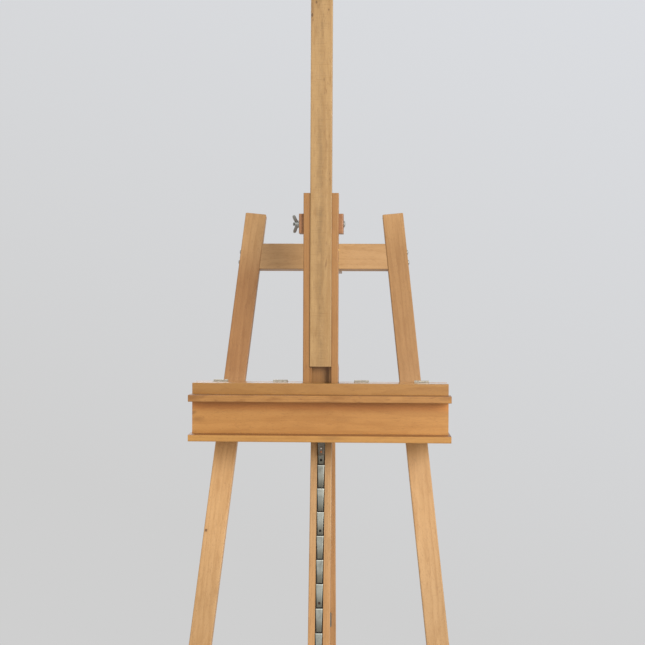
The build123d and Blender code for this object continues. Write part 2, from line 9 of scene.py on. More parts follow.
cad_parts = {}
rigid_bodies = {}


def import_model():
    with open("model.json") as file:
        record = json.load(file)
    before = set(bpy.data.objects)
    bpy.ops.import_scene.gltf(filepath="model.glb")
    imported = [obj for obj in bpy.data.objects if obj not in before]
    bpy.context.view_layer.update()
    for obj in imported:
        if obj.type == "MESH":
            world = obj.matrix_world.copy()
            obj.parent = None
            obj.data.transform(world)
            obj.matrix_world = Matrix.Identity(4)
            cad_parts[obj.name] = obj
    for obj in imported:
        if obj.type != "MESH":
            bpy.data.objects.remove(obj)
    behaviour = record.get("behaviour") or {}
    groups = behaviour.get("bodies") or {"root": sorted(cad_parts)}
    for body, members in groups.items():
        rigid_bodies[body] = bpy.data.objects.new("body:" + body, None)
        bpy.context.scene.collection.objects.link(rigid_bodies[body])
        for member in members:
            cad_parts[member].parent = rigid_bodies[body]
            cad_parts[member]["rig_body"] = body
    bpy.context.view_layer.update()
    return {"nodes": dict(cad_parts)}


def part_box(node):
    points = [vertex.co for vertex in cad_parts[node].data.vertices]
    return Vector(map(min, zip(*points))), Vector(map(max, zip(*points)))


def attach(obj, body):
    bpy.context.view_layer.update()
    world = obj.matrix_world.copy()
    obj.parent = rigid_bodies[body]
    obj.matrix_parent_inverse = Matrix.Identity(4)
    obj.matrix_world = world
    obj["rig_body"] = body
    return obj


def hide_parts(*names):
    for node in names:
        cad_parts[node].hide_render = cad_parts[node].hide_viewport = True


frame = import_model()
scene = bpy.context.scene
NODES = frame["nodes"]
BODY_OF = {n: o.get("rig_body") for n, o in NODES.items()}

# ------------------------------------------------------------------ frame geometry (mm)
LEDGE_Z, Y0, LEAN, SPREAD = 900.0, -336.36, 14.0, 17.0
POST_Y = Y0 + 170.0
LEG_SPLAY, LEG_X, LEG_W, LEG_T = 0.0992, 213.6, 51.0, 25.0
c, s = math.cos(math.radians(LEAN)), math.sin(math.radians(LEAN))
cs2, sn2 = math.cos(math.radians(SPREAD)), math.sin(math.radians(SPREAD))
RAIL_H, CHAN_W, YOKE_W = 22.0, 81.0, 103.0
TOOTH_REST, PITCH = -127.1, 55.0


def P(x, b, u):
    """Point x across, b behind the post's face, u up the leaning frame, in metres."""
    return Vector((x, POST_Y + b * c + u * s, LEDGE_Z - b * s + u * c)) / 1000


def W(x, y, z):
    return Vector((x, y, z)) / 1000


def basis(origin, xd, zd):
    z = Vector(zd).normalized()
    x = (Vector(xd) - z * Vector(xd).dot(z)).normalized()
    y = z.cross(x)
    m = Matrix((x, y, z)).transposed().to_4x4()
    m.translation = Vector(origin)
    return m


FRONT_N = Vector((0, -c, s))
UP_U = Vector((0, s, c))
BACK_B = Vector((0, c, -s))

# ------------------------------------------------------------------ node helpers


class Net:
    def __init__(self, name):
        self.m = bpy.data.materials.new(name)
        self.m.use_nodes = True
        self.t = self.m.node_tree
        self.t.nodes.clear()
        self.out = self.t.nodes.new("ShaderNodeOutputMaterial")
        self.bsdf = self.t.nodes.new("ShaderNodeBsdfPrincipled")
        self.t.links.new(self.bsdf.outputs[0], self.out.inputs[0])

    def n(self, kind, **kw):
        node = self.t.nodes.new(kind)
        for k, v in kw.items():
            setattr(node, k, v)
        return node

    def put(self, sock, v):
        if isinstance(v, bpy.types.NodeSocket):
            self.t.links.new(v, sock)
        elif v is not None:
            sock.default_value = v

    def math(self, op, a, b=None, cc=None, clamp=False):
        node = self.n("ShaderNodeMath", operation=op, use_clamp=clamp)
        for i, v in enumerate((a, b, cc)):
            if v is not None:
                self.put(node.inputs[i], v)
        return node.outputs[0]

    def vmath(self, op, a, b=None):
        node = self.n("ShaderNodeVectorMath", operation=op)
        self.put(node.inputs[0], a)
        if b is not None:
            self.put(node.inputs[1], b)
        return node.outputs["Value"] if op in ("DOT_PRODUCT", "LENGTH", "DISTANCE") else node.outputs[0]

    def step(self, x, lo, hi, a=0.0, b=1.0):
        node = self.n("ShaderNodeMapRange", interpolation_type="SMOOTHSTEP")
        self.put(node.inputs[0], x)
        for i, v in enumerate((lo, hi, a, b)):
            self.put(node.inputs[i + 1], v)
        return node.outputs[0]

    def noise(self, v, scale, detail=2.0, rough=0.5, dist=0.0, color=False):
        node = self.n("ShaderNodeTexNoise")
        self.put(node.inputs["Vector"], v)
        node.inputs["Scale"].default_value = scale
        node.inputs["Detail"].default_value = detail
        node.inputs["Roughness"].default_value = rough
        node.inputs["Distortion"].default_value = dist
        return node.outputs[1 if color else 0]

    def mix(self, f, a, b, blend="MIX"):
        node = self.n("ShaderNodeMix", data_type="RGBA", blend_type=blend)
        self.put(node.inputs[0], f)
        for i, v in ((6, a), (7, b)):
            if isinstance(v, (tuple, list)):
                v = (*v[:3], 1.0)
            self.put(node.inputs[i], v)
        return node.outputs[2]

    def grey(self, v):
        node = self.n("ShaderNodeCombineColor")
        for i in range(3):
            self.put(node.inputs[i], v)
        return node.outputs[0]

    def bevel_edge(self, radius, lo=0.02, hi=0.30):
        bv = self.n("ShaderNodeBevel", samples=4)
        bv.inputs["Radius"].default_value = radius
        ge = self.n("ShaderNodeNewGeometry")
        d = self.vmath("DOT_PRODUCT", bv.outputs[0], ge.outputs["Normal"])
        return self.step(self.math("SUBTRACT", 1.0, d), lo, hi)


def lin(r, g, b):
    f = lambda v: v / 255 / 12.92 if v / 255 <= 0.04045 else ((v / 255 + 0.055) / 1.055) ** 2.4
    return (f(r), f(g), f(b))


def scale3(col, k):
    return tuple(min(1.0, v * k) for v in col)


def wood(name, tone, grain, node=None, seed=1, contrast=1.0, rough=0.43, coat=0.18, wear=0.6,
         spots=(), stains=(), pith=(0.05, 0.11), ring=0.0045, flat=1.0, bands=(), bump=1.0, upper=None, dots=1.0, top=None, ticks=0.0, speck=0.22, worn=(0.40, 0.70), mottle=0.40, zones=()):
    """Old satin-varnished beech. grain: direction the fibres run. spots: knots and dents as (x, y, z, radius, stretch,
    depth) in metres; stains: wide soft marks the same way; bands: (axis, centre, half width, soft edge, strength) worn
    strips;
    upper: (z0, z1, factor) slow change of tone with height; top: factor for the upward faces, part dust and part
    painted shade; ticks: rub marks across the grain."""
    rnd = random.Random(seed * 977 + 13)
    k = Net(name)
    tc = k.n("ShaderNodeTexCoord")
    R = Vector(grain).normalized().rotation_difference(Vector((0, 0, 1))).to_matrix()
    if node:
        lo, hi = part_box(node)
        mid = (lo + hi) / 2
    else:
        mid = Vector((0, 0, 0))
    off = -(R @ mid)
    mp = k.n("ShaderNodeMapping", vector_type="POINT")
    k.put(mp.inputs["Vector"], tc.outputs["Object"])
    mp.inputs["Rotation"].default_value = R.to_euler("XYZ")
    mp.inputs["Location"].default_value = off
    v = mp.outputs[0]
    sh = (rnd.uniform(-9, 9), rnd.uniform(-9, 9), rnd.uniform(-9, 9))
    vs = k.vmath("ADD", v, sh)
    # slow wander of the fibres
    wn = k.noise(k.vmath("MULTIPLY", vs, (3.0, 3.0, 1.1)), 1.0, 2.0, 0.5, color=True)
    wv = k.vmath("MULTIPLY", k.vmath("SUBTRACT", wn, (0.5, 0.5, 0.5)), (0.034 * flat, 0.034 * flat, 0.0))
    vw = k.vmath("ADD", v, wv)
    vws = k.vmath("ADD", vw, sh)
    # growth rings, seen as long flames on the faces and arcs on the ends
    wave = k.n("ShaderNodeTexWave", wave_type="RINGS", rings_direction="Z", wave_profile="SAW")
    k.put(wave.inputs["Vector"], k.vmath("ADD", vw, (pith[0], pith[1], 0.0)))
    wave.inputs["Scale"].default_value = 0.314 / ring / 1.0
    wave.inputs["Distortion"].default_value = 1.6
    wave.inputs["Detail"].default_value = 2.0
    wave.inputs["Detail Scale"].default_value = 0.35
    wave.inputs["Detail Roughness"].default_value = 0.55
    rings = wave.outputs["Fac"]
    streak = k.noise(k.vmath("MULTIPLY", vws, (62.0, 62.0, 1.3)), 1.0, 3.0, 0.55)
    broad = k.noise(k.vmath("MULTIPLY", vws, (13.0, 13.0, 1.5)), 1.0, 2.0, 0.5)
    fine = k.noise(k.vmath("MULTIPLY", vws, (520.0, 520.0, 9.0)), 1.0, 3.0, 0.65)
    fleckn = k.noise(k.vmath("MULTIPLY", vws, (1250.0, 1250.0, 165.0)), 1.0, 1.0, 0.5)
    fleck = k.step(fleckn, 0.60, 0.72)
    cloud = k.noise(k.vmath("MULTIPLY", vs, (6.0, 6.0, 3.4)), 1.0, 3.0, 0.6)

    light = tuple(min(1.0, t * f) for t, f in zip(tone, (1.13, 1.16, 1.22)))
    dark = tuple(t * f for t, f in zip(tone, (0.80, 0.73, 0.62)))
    deep = tuple(t * f for t, f in zip(tone, (0.52, 0.42, 0.32)))
    col = k.mix(k.step(broad, 0.30, 0.72), tone, light)
    col = k.mix(k.math("MULTIPLY", k.step(streak, 0.46, 0.78), 0.62 * contrast), col, dark)
    col = k.mix(k.math("MULTIPLY", k.step(rings, 0.45, 1.0), 0.34 * contrast), col, dark)
    col = k.mix(k.math("MULTIPLY", k.step(fine, 0.52, 0.80), 0.40 * contrast), col, dark)
    col = k.mix(k.math("MULTIPLY", fleck, 0.42 * contrast * dots), col, deep)
    col = k.mix(k.math("MULTIPLY", k.step(cloud, 0.48, 0.78), 0.46), col, dark)
    col = k.mix(k.math("MULTIPLY", k.step(cloud, 0.46, 0.22), 0.35), col, light)

    sp = k.noise(k.vmath("MULTIPLY", vws, (230.0, 230.0, 42.0)), 1.0, 2.0, 0.6)
    col = k.mix(k.math("MULTIPLY", k.step(sp, 0.60, 0.74), speck), col, deep)
    # uneven finish: short darker and paler patches along the fibres
    mot = k.noise(k.vmath("MULTIPLY", vws, (88.0, 88.0, 19.0)), 1.0, 3.0, 0.6)
    col = k.mix(k.math("MULTIPLY", k.step(mot, 0.50, 0.72), mottle), col, dark)
    col = k.mix(k.math("MULTIPLY", k.step(mot, 0.46, 0.28), mottle), col, light)

    # end grain: darker, with the rings showing
    nm = k.n("ShaderNodeMapping", vector_type="NORMAL")
    k.put(nm.inputs["Vector"], tc.outputs["Normal"])
    nm.inputs["Rotation"].default_value = R.to_euler("XYZ")
    sep = k.n("ShaderNodeSeparateXYZ")
    k.put(sep.inputs[0], nm.outputs[0])
    endm = k.step(k.math("ABSOLUTE", sep.outputs[2]), 0.72, 0.95)
    pores = k.noise(k.vmath("MULTIPLY", vs, (900.0, 900.0, 900.0)), 1.0, 2.0, 0.6)
    ends = k.mix(k.step(rings, 0.35, 1.0), scale3(dark, 0.92), deep)
    ends = k.mix(k.math("MULTIPLY", k.step(pores, 0.52, 0.72), 0.5), ends, scale3(deep, 0.7))
    col = k.mix(k.math("MULTIPLY", endm, 0.85), col, ends)

    # handled edges: worn pale in places, grimy in others
    edge = k.bevel_edge(0.0028)
    en = k.noise(k.vmath("MULTIPLY", vs, (45.0, 45.0, 16.0)), 1.0, 3.0, 0.65)
    grime = k.math("MULTIPLY", edge, k.step(en, worn[0], worn[1]))
    col = k.mix(k.math("MULTIPLY", grime, wear), col, scale3(deep, 0.80))
    pale = k.math("MULTIPLY", edge, k.step(en, 0.42, 0.25))
    col = k.mix(k.math("MULTIPLY", pale, 0.40 * wear), col, tuple(min(1.0, t * f) for t, f in zip(tone, (1.15, 1.22, 1.35))))

    tick = k.noise(k.vmath("MULTIPLY", vs, (22.0, 22.0, 520.0)), 1.0, 2.0, 0.6)
    if ticks:
        col = k.mix(k.math("MULTIPLY", k.step(tick, 0.56, 0.74), ticks), col, dark)
    for ax, centre, half, soft, strength in bands:
        comp = k.n("ShaderNodeSeparateXYZ")
        k.put(comp.inputs[0], tc.outputs["Object"])
        d = k.math("ABSOLUTE", k.math("SUBTRACT", comp.outputs[ax], centre))
        jit = k.math("MULTIPLY", k.math("SUBTRACT", streak, 0.5), soft * 1.5)
        mk = k.step(k.math("ADD", d, jit), half + soft, half - soft)
        mk = k.math("MULTIPLY", mk, k.step(cloud, 0.25, 0.62, 0.35, 1.0))
        mk = k.math("MULTIPLY", mk, k.step(tick, 0.35, 0.65, 0.45, 1.0))
        mk = k.math("MULTIPLY", mk, k.step(mot, 0.36, 0.60, 0.30, 1.0))
        col = k.mix(k.math("MULTIPLY", mk, strength), col, tuple(t * f for t, f in zip(tone, (0.60, 0.60, 0.60))))

    for x, y, z, r, stretch, depth in stains:
        d = k.vmath("SUBTRACT", v, tuple(R @ Vector((x, y, z)) + off))
        d = k.vmath("MULTIPLY", d, (1 / r, 1 / r, 1 / (r * stretch)))
        ln = k.math("ADD", k.vmath("LENGTH", d), k.math("MULTIPLY", k.math("SUBTRACT", en, 0.5), 1.1))
        mk = k.math("MULTIPLY", k.step(ln, 1.0, 0.15), k.step(streak, 0.3, 0.6, 0.5, 1.0))
        col = k.mix(k.math("MULTIPLY", mk, depth), col, scale3(deep, 0.75))
    for x, y, z, r, stretch, depth in spots:
        d = k.vmath("SUBTRACT", v, tuple(R @ Vector((x, y, z)) + off))
        d = k.vmath("MULTIPLY", d, (1 / r, 1 / r, 1 / (r * stretch)))
        ln = k.math("ADD", k.vmath("LENGTH", d), k.math("MULTIPLY", k.math("SUBTRACT", fine, 0.5), 0.6))
        halo = k.math("MULTIPLY", k.step(ln, 3.2, 0.8), 0.35 * depth)
        col = k.mix(halo, col, dark)
        col = k.mix(k.math("MULTIPLY", k.step(ln, 1.05, 0.5), depth), col, scale3(deep, 0.55))
    if upper:
        comp = k.n("ShaderNodeSeparateXYZ")
        k.put(comp.inputs[0], tc.outputs["Object"])
        um = k.step(comp.outputs[2], upper[0], upper[1])
        if len(upper) > 3:
            um = k.math("MULTIPLY", um, k.step(comp.outputs[2], upper[4], upper[3]))
        col = k.mix(um, col, k.mix(1.0, col, upper[2], "MULTIPLY"))

    # height bands whose colour is multiplied by a factor; the legs' upper bands and the front board's band under the
    # ledge are painted shade
    for z0, z1, z2, z3, factor in zones:
        comp = k.n("ShaderNodeSeparateXYZ")
        k.put(comp.inputs[0], tc.outputs["Object"])
        um = k.math("MULTIPLY", k.step(comp.outputs[2], z0, z1), k.step(comp.outputs[2], z3, z2))
        col = k.mix(um, col, k.mix(1.0, col, factor, "MULTIPLY"))

    # upward faces multiplied by the top factor: part dust, part painted shade of shadowed top faces
    if top:
        tn = k.n("ShaderNodeSeparateXYZ")
        k.put(tn.inputs[0], tc.outputs["Normal"])
        col = k.mix(k.step(tn.outputs[2], 0.55, 0.92), col, k.mix(1.0, col, top, "MULTIPLY"))
    k.put(k.bsdf.inputs["Base Color"], col)
    rgh = k.math("ADD", rough - 0.06, k.math("MULTIPLY", cloud, 0.16))
    rgh = k.math("ADD", rgh, k.math("MULTIPLY", fleck, 0.12))
    rgh = k.math("ADD", rgh, k.math("MULTIPLY", edge, 0.14), clamp=True)
    k.put(k.bsdf.inputs["Roughness"], rgh)
    k.bsdf.inputs["Specular IOR Level"].default_value = 0.42
    k.bsdf.inputs["Coat Weight"].default_value = coat
    k.bsdf.inputs["Coat Roughness"].default_value = 0.16
    h = k.math("MULTIPLY", fine, 0.55)
    h = k.math("SUBTRACT", h, k.math("MULTIPLY", fleck, 0.50))
    h = k.math("ADD", h, k.math("MULTIPLY", streak, 0.35))
    h = k.math("ADD", h, k.math("MULTIPLY", rings, 0.12))
    h = k.math("SUBTRACT", h, k.math("MULTIPLY", grime, 0.9))
    bp = k.n("ShaderNodeBump")
    bp.inputs["Strength"].default_value = 0.55 * bump
    bp.inputs["Distance"].default_value = 0.00035
    k.put(bp.inputs["Height"], h)
    k.put(k.bsdf.inputs["Normal"], bp.outputs[0])
    return k.m


def metal(name, tone, rough=0.42, metallic=0.85, tarnish=0.5, rust=0.0, wear=0.6, along=(1, 1, 1), seed=3, bright=1.5, edge_r=0.0009, teeth=False):
    rnd = random.Random(seed * 31 + 5)
    k = Net(name)
    tc = k.n("ShaderNodeTexCoord")
    v = k.vmath("ADD", tc.outputs["Object"], (rnd.uniform(-5, 5), rnd.uniform(-5, 5), rnd.uniform(-5, 5)))
    cl = k.noise(v, 55.0, 4.0, 0.62)
    mott = k.noise(v, 420.0, 3.0, 0.6)
    scr = k.noise(k.vmath("MULTIPLY", v, tuple(3000.0 if a else 160.0 for a in along)), 1.0, 2.0, 0.6)
    col = k.mix(k.math("MULTIPLY", k.step(cl, 0.38, 0.72), tarnish), tone, scale3(tone, 0.52))
    col = k.mix(k.math("MULTIPLY", k.step(mott, 0.46, 0.74), 0.38), col, scale3(tone, 0.66))
    col = k.mix(k.math("MULTIPLY", k.step(scr, 0.55, 0.72), 0.30), col, scale3(tone, 1.35))
    if rust:
        rn = k.noise(v, 150.0, 5.0, 0.7)
        col = k.mix(k.math("MULTIPLY", k.step(rn, 0.56, 0.72), rust), col, lin(112, 72, 42))
    edge = k.bevel_edge(edge_r, 0.03, 0.35)
    if teeth:
        # each tooth: a paler band at its lip, darker towards its root
        up = k.vmath("DOT_PRODUCT", tc.outputs["Object"], tuple(UP_U))
        u0 = (W(0, POST_Y, LEDGE_Z)).dot(UP_U) + TOOTH_REST / 1000
        ph = k.math("FRACT", k.math("DIVIDE", k.math("SUBTRACT", up, u0), PITCH / 1000))
        jit = k.math("ADD", ph, k.math("MULTIPLY", k.math("SUBTRACT", cl, 0.5), 0.5))
        col = k.mix(k.step(jit, 0.72, 0.10), col, k.mix(1.0, col, (0.44, 0.41, 0.36), "MULTIPLY"))
        col = k.mix(k.math("MULTIPLY", k.step(ph, 0.955, 0.985), 0.8), col, scale3(tone, 1.9))
    col = k.mix(k.math("MULTIPLY", edge, wear), col, scale3(tone, bright))
    k.put(k.bsdf.inputs["Base Color"], col)
    k.bsdf.inputs["Metallic"].default_value = metallic
    r = k.math("ADD", rough - 0.10, k.math("MULTIPLY", cl, 0.30))
    r = k.math("ADD", r, k.math("MULTIPLY", k.math("SUBTRACT", scr, 0.5), 0.12))
    r = k.math("SUBTRACT", r, k.math("MULTIPLY", edge, 0.10), clamp=True)
    k.put(k.bsdf.inputs["Roughness"], r)
    bp = k.n("ShaderNodeBump")
    bp.inputs["Strength"].default_value = 0.35
    bp.inputs["Distance"].default_value = 0.0002
    k.put(bp.inputs["Height"], k.math("ADD", k.math("MULTIPLY", mott, 0.7), k.math("MULTIPLY", scr, 0.5)))
    k.put(k.bsdf.inputs["Normal"], bp.outputs[0])
    return k.m


def plastic(name, tone):
    k = Net(name)
    tc = k.n("ShaderNodeTexCoord")
    cl = k.noise(tc.outputs["Object"], 140.0, 4.0, 0.6)
    gr = k.noise(tc.outputs["Object"], 1600.0, 2.0, 0.5)
    edge = k.bevel_edge(0.0012, 0.03, 0.35)
    col = k.mix(k.step(cl, 0.35, 0.75), tone, scale3(tone, 1.7))
    col = k.mix(k.math("MULTIPLY", edge, 0.5), col, scale3(tone, 2.6))
    k.put(k.bsdf.inputs["Base Color"], col)
    k.put(k.bsdf.inputs["Roughness"], k.math("ADD", 0.30, k.math("MULTIPLY", cl, 0.25)))
    bp = k.n("ShaderNodeBump")
    bp.inputs["Strength"].default_value = 0.25
    bp.inputs["Distance"].default_value = 0.0002
    k.put(bp.inputs["Height"], gr)
    k.put(k.bsdf.inputs["Normal"], bp.outputs[0])
    return k.m


# ------------------------------------------------------------------ mesh helpers
def finish_piece(bm, name, node, mats, smooth=35.0, replaces=True):
    bmesh.ops.remove_doubles(bm, verts=bm.verts, dist=1e-7)
    bmesh.ops.recalc_face_normals(bm, faces=bm.faces)
    me = bpy.data.meshes.new(name)
    bm.to_mesh(me)
    bm.free()
    o = bpy.data.objects.new(name, me)
    scene.collection.objects.link(o)
    for m in mats if isinstance(mats, (list, tuple)) else [mats]:
        me.materials.append(m)
    for p in me.polygons:
        p.use_smooth = True
    me.set_sharp_from_angle(angle=math.radians(smooth))
    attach(o, BODY_OF[node])
    if replaces:
        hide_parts(node)
    return o


def join(bm, other, mat=0):
    for f in other.faces:
        f.material_index = mat
    me = bpy.data.meshes.new("tmp")
    other.to_mesh(me)
    bm.from_mesh(me)
    bpy.data.meshes.remove(me)
    other.free()


def lathe(M, prof, n=40, mat=0):
    """Closed solid of revolution about M's z; prof is [(radius, height)] in mm, from axis to axis."""
    b = bmesh.new()
    rings = []
    for r, h in prof:
        if r < 1e-6:
            rings.append([b.verts.new(M @ Vector((0, 0, h / 1000)))])
        else:
            rings.append([b.verts.new(M @ (Vector((r * math.cos(2 * math.pi * i / n), r * math.sin(2 * math.pi * i / n), h)) / 1000)) for i in range(n)])
    for a, d in zip(rings, rings[1:]):
        if len(a) == 1 and len(d) == 1:
            continue
        for i in range(n):
            j = (i + 1) % n
            if len(a) == 1:
                b.faces.new((a[0], d[i], d[j]))
            elif len(d) == 1:
                b.faces.new((a[i], a[j], d[0]))
            else:
                b.faces.new((a[i], a[j], d[j], d[i]))
    return b


def arc(cx, cy, r, a0, a1, n=6):
    return [(cx + r * math.cos(math.radians(a0 + (a1 - a0) * i / n)), cy + r * math.sin(math.radians(a0 + (a1 - a0) * i / n))) for i in range(n + 1)]


def plate(M, outline, z0, z1, bevel=0.5, segs=2):
    """Flat plate of that outline (mm) between z0 and z1 along M's z, its rims rounded over."""
    b = bmesh.new()
    lo = [b.verts.new(Vector((x, y, z0))) for x, y in outline]
    hi = [b.verts.new(Vector((x, y, z1))) for x, y in outline]
    n = len(outline)
    b.faces.new(lo[::-1])
    b.faces.new(hi)
    for i in range(n):
        j = (i + 1) % n
        b.faces.new((lo[i], lo[j], hi[j], hi[i]))
    if bevel:
        rim = [e for e in b.edges if abs(e.verts[0].co.z - e.verts[1].co.z) < 1e-6]
        bmesh.ops.bevel(b, geom=rim, offset=bevel, segments=segs, profile=0.5, affect="EDGES", clamp_overlap=True)
    for v in b.verts:
        v.co = M @ (v.co / 1000)
    return b


def smooth_outline(pts, rounds=2, keep=0.25):
    for _ in range(rounds):
        out = []
        for i in range(len(pts)):
            a, d = Vector(pts[i]), Vector(pts[(i + 1) % len(pts)])
            out.append(tuple(a.lerp(d, keep)))
            out.append(tuple(a.lerp(d, 1 - keep)))
        pts = out
    return pts


def rrect(x0, y0, x1, y1, r):
    return (arc(x1 - r, y1 - r, r, 0, 90, 4) + arc(x0 + r, y1 - r, r, 90, 180, 4) +
            arc(x0 + r, y0 + r, r, 180, 270, 4) + arc(x1 - r, y0 + r, r, 270, 360, 4))


def slotted_head(M, r, h, angle=0.3, mat=0, slot_w=None, depth=None):
    """Slotted screw head: a dome with a sawn slot."""
    b = bmesh.new()
    n = 36
    sw = (slot_w or r * 0.2)
    sd = (depth or h * 0.55)
    rings = 8
    grid = []
    ca, sa = math.cos(angle), math.sin(angle)
    for i in range(rings + 1):
        t = i / rings
        rr = r * math.sin(t * math.pi / 2)
        hh = h * (0.15 + 0.85 * math.cos(t * math.pi / 2))
        grid.append((rr, hh))
    # rectangular raster keeps the slot crisp
    N = 26
    xs = [-r + 2 * r * i / N for i in range(N + 1)]
    ys = sorted(set([-r + 2 * r * i / N for i in range(N + 1)] + [-sw - 1e-3, -sw, sw, sw + 1e-3]))
    vs = {}
    for i, x in enumerate(xs):
        for j, y in enumerate(ys):
            q = math.hypot(x, y)
            px, py = x, y
            if q > 1e-9:
                m = max(abs(x), abs(y)) / q if abs(y) > sw + 2e-3 or True else 1
            lim = math.sqrt(max(0.0, r * r - y * y))
            px = max(-lim, min(lim, x * (lim / r if r else 1)))
            q = min(1.0, math.hypot(px, y) / r)
            z = h * (0.15 + 0.85 * math.sqrt(max(0.0, 1 - q * q)))
            if abs(y) <= sw + 1e-6:
                z = min(z, h - sd)
            vs[i, j] = b.verts.new(M @ (Vector((px * ca - y * sa, px * sa + y * ca, z)) / 1000))
    for i in range(len(xs) - 1):
        for j in range(len(ys) - 1):
            q = [vs[i, j], vs[i + 1, j], vs[i + 1, j + 1], vs[i, j + 1]]
            if len(set((round(v.co.x, 8), round(v.co.y, 8), round(v.co.z, 8)) for v in q)) >= 3:
                b.faces.new(q)
    bmesh.ops.remove_doubles(b, verts=b.verts, dist=2e-6)
    # skirt and base close the head into a solid
    bmesh.ops.dissolve_degenerate(b, edges=b.edges, dist=1e-7)
    rim = [e for e in b.edges if e.is_boundary]
    ext = bmesh.ops.extrude_edge_only(b, edges=rim)
    nz = (M.to_3x3() @ Vector((0, 0, 1))).normalized()
    org = M.translation
    for g in ext["geom"]:
        if isinstance(g, bmesh.types.BMVert):
            g.co = g.co - nz * (g.co - org).dot(nz)
    bmesh.ops.holes_fill(b, edges=[e for e in b.edges if e.is_boundary], sides=0)
    for f in b.faces:
        f.material_index = mat
    return b


def dome(M, r, h, base=0.6, mat=0, n=40):
    prof = [(0, 0), (r, 0), (r, base)] + [(r * math.cos(t), base + (h - base) * math.sin(t)) for t in [math.radians(a) for a in range(9, 90, 9)]] + [(0, h)]
    return lathe(M, prof, n)


def washer(M, r, ri, t):
    e = t * 0.3
    return lathe(M, [(ri, 0), (r - e, 0), (r, e), (r, t - e), (r - e, t), (ri, t), (ri, 0)], 40)


def hexnut(M, across, h, bore=0.0):
    """Chamfered hexagon nut, a closed solid."""
    b = bmesh.new()
    R = across
    n = 48
    def rad(a):
        q = (math.degrees(a) % 60) - 30
        return R * math.cos(math.radians(30)) / math.cos(math.radians(q))
    hs = [0, h * 0.12, h * 0.88, h]
    rings = []
    for k_, z in enumerate(hs):
        ring = []
        for i in range(n):
            a = 2 * math.pi * i / n
            r_ = rad(a)
            if k_ in (0, 3):
                r_ = min(r_, R * 0.90)
            ring.append(b.verts.new(M @ (Vector((r_ * math.cos(a), r_ * math.sin(a), z)) / 1000)))
        rings.append(ring)
    for a_, d_ in zip(rings, rings[1:]):
        for i in range(n):
            j = (i + 1) % n
            b.faces.new((a_[i], a_[j], d_[j], d_[i]))
    b.faces.new(rings[0][::-1])
    b.faces.new(rings[-1])
    return b


def threaded(M, r, z0, z1, pitch=1.25, n=28):
    """Rod end with rolled thread ridges and a chamfered tip."""
    prof = [(0, z0), (r * 0.86, z0)]
    z = z0 + 0.6
    while z < z1 - 1.2:
        prof += [(r * 0.86, z), (r, z + pitch * 0.42), (r, z + pitch * 0.58), (r * 0.86, z + pitch)]
        z += pitch
    prof += [(r * 0.86, z), (r * 0.9, z1 - 0.7), (r * 0.7, z1), (0, z1)]
    return lathe(M, prof, n)


# ------------------------------------------------------------------ camera, light, floor
cam_data = bpy.data.cameras.new("camera")
cam_data.sensor_width = 36.0
cam_data.lens = 67.56
cam_data.clip_start, cam_data.clip_end = 0.05, 60
cam = bpy.data.objects.new("camera", cam_data)
scene.collection.objects.link(cam)
CX, CY, CZ = 0.1014, Y0 / 1000 - 2.727, 1.1030
yaw, pitch, roll = math.radians(-1.992), math.radians(0.847), math.radians(0.245)
fwd = Vector((math.sin(yaw) * math.cos(pitch), math.cos(yaw) * math.cos(pitch), -math.sin(pitch)))
rgt = Vector((math.cos(yaw), -math.sin(yaw), 0))
upv = rgt.cross(fwd)
r2 = rgt * math.cos(roll) + upv * math.sin(roll)
u2 = -rgt * math.sin(roll) + upv * math.cos(roll)
cm = Matrix((r2, u2, -fwd)).transposed().to_4x4()
cm.translation = Vector((CX, CY, CZ))
cam.matrix_world = cm
scene.camera = cam
scene.view_settings.view_transform = "Standard"
scene.view_settings.look = "None"
scene.view_settings.exposure = 0.0
scene.view_settings.gamma = 1.0

world = bpy.data.worlds.new("studio")
scene.world = world
world.use_nodes = True
wt = world.node_tree
bg = wt.nodes["Background"]
tcw = wt.nodes.new("ShaderNodeTexCoord")
dotn = wt.nodes.new("ShaderNodeVectorMath"); dotn.operation = "DOT_PRODUCT"
wt.links.new(tcw.outputs["Generated"], dotn.inputs[0])
dotn.inputs[1].default_value = (0.35, 0.0, 0.85)
mr = wt.nodes.new("ShaderNodeMapRange")
wt.links.new(dotn.outputs["Value"], mr.inputs[0])
mr.inputs[1].default_value, mr.inputs[2].default_value = -0.20, 0.28
mixw = wt.nodes.new("ShaderNodeMix"); mixw.data_type = "RGBA"
wt.links.new(mr.outputs[0], mixw.inputs[0])
mixw.inputs[6].default_value = (*lin(207, 207, 207), 1)
mixw.inputs[7].default_value = (*lin(219, 221, 225), 1)
wt.links.new(mixw.outputs[2], bg.inputs[0])
bg.inputs[1].default_value = 1.0


def area(name, loc, target, size, power, col=(1, 1, 1)):
    d = bpy.data.lights.new(name, "AREA")
    d.shape = "DISK"
    d.size = size
    d.energy = power
    d.color = col
    o = bpy.data.objects.new(name, d)
    scene.collection.objects.link(o)
    o.location = loc
    o.rotation_euler = (Vector(target) - Vector(loc)).to_track_quat("-Z", "Y").to_euler()
    o.visible_camera = False
    return o


area("key", (1.9, -2.8, 1.80), (0, -0.1, 0.95), 1.9, 100, (1.0, 0.985, 0.96))
area("fill", (-2.4, -2.6, 2.3), (0, 0, 0.9), 2.0, 16, (0.96, 0.98, 1.0))
area("back", (-1.2, 3.0, 3.0), (0, 0.1, 0.9), 2.2, 45, (0.98, 0.99, 1.0))

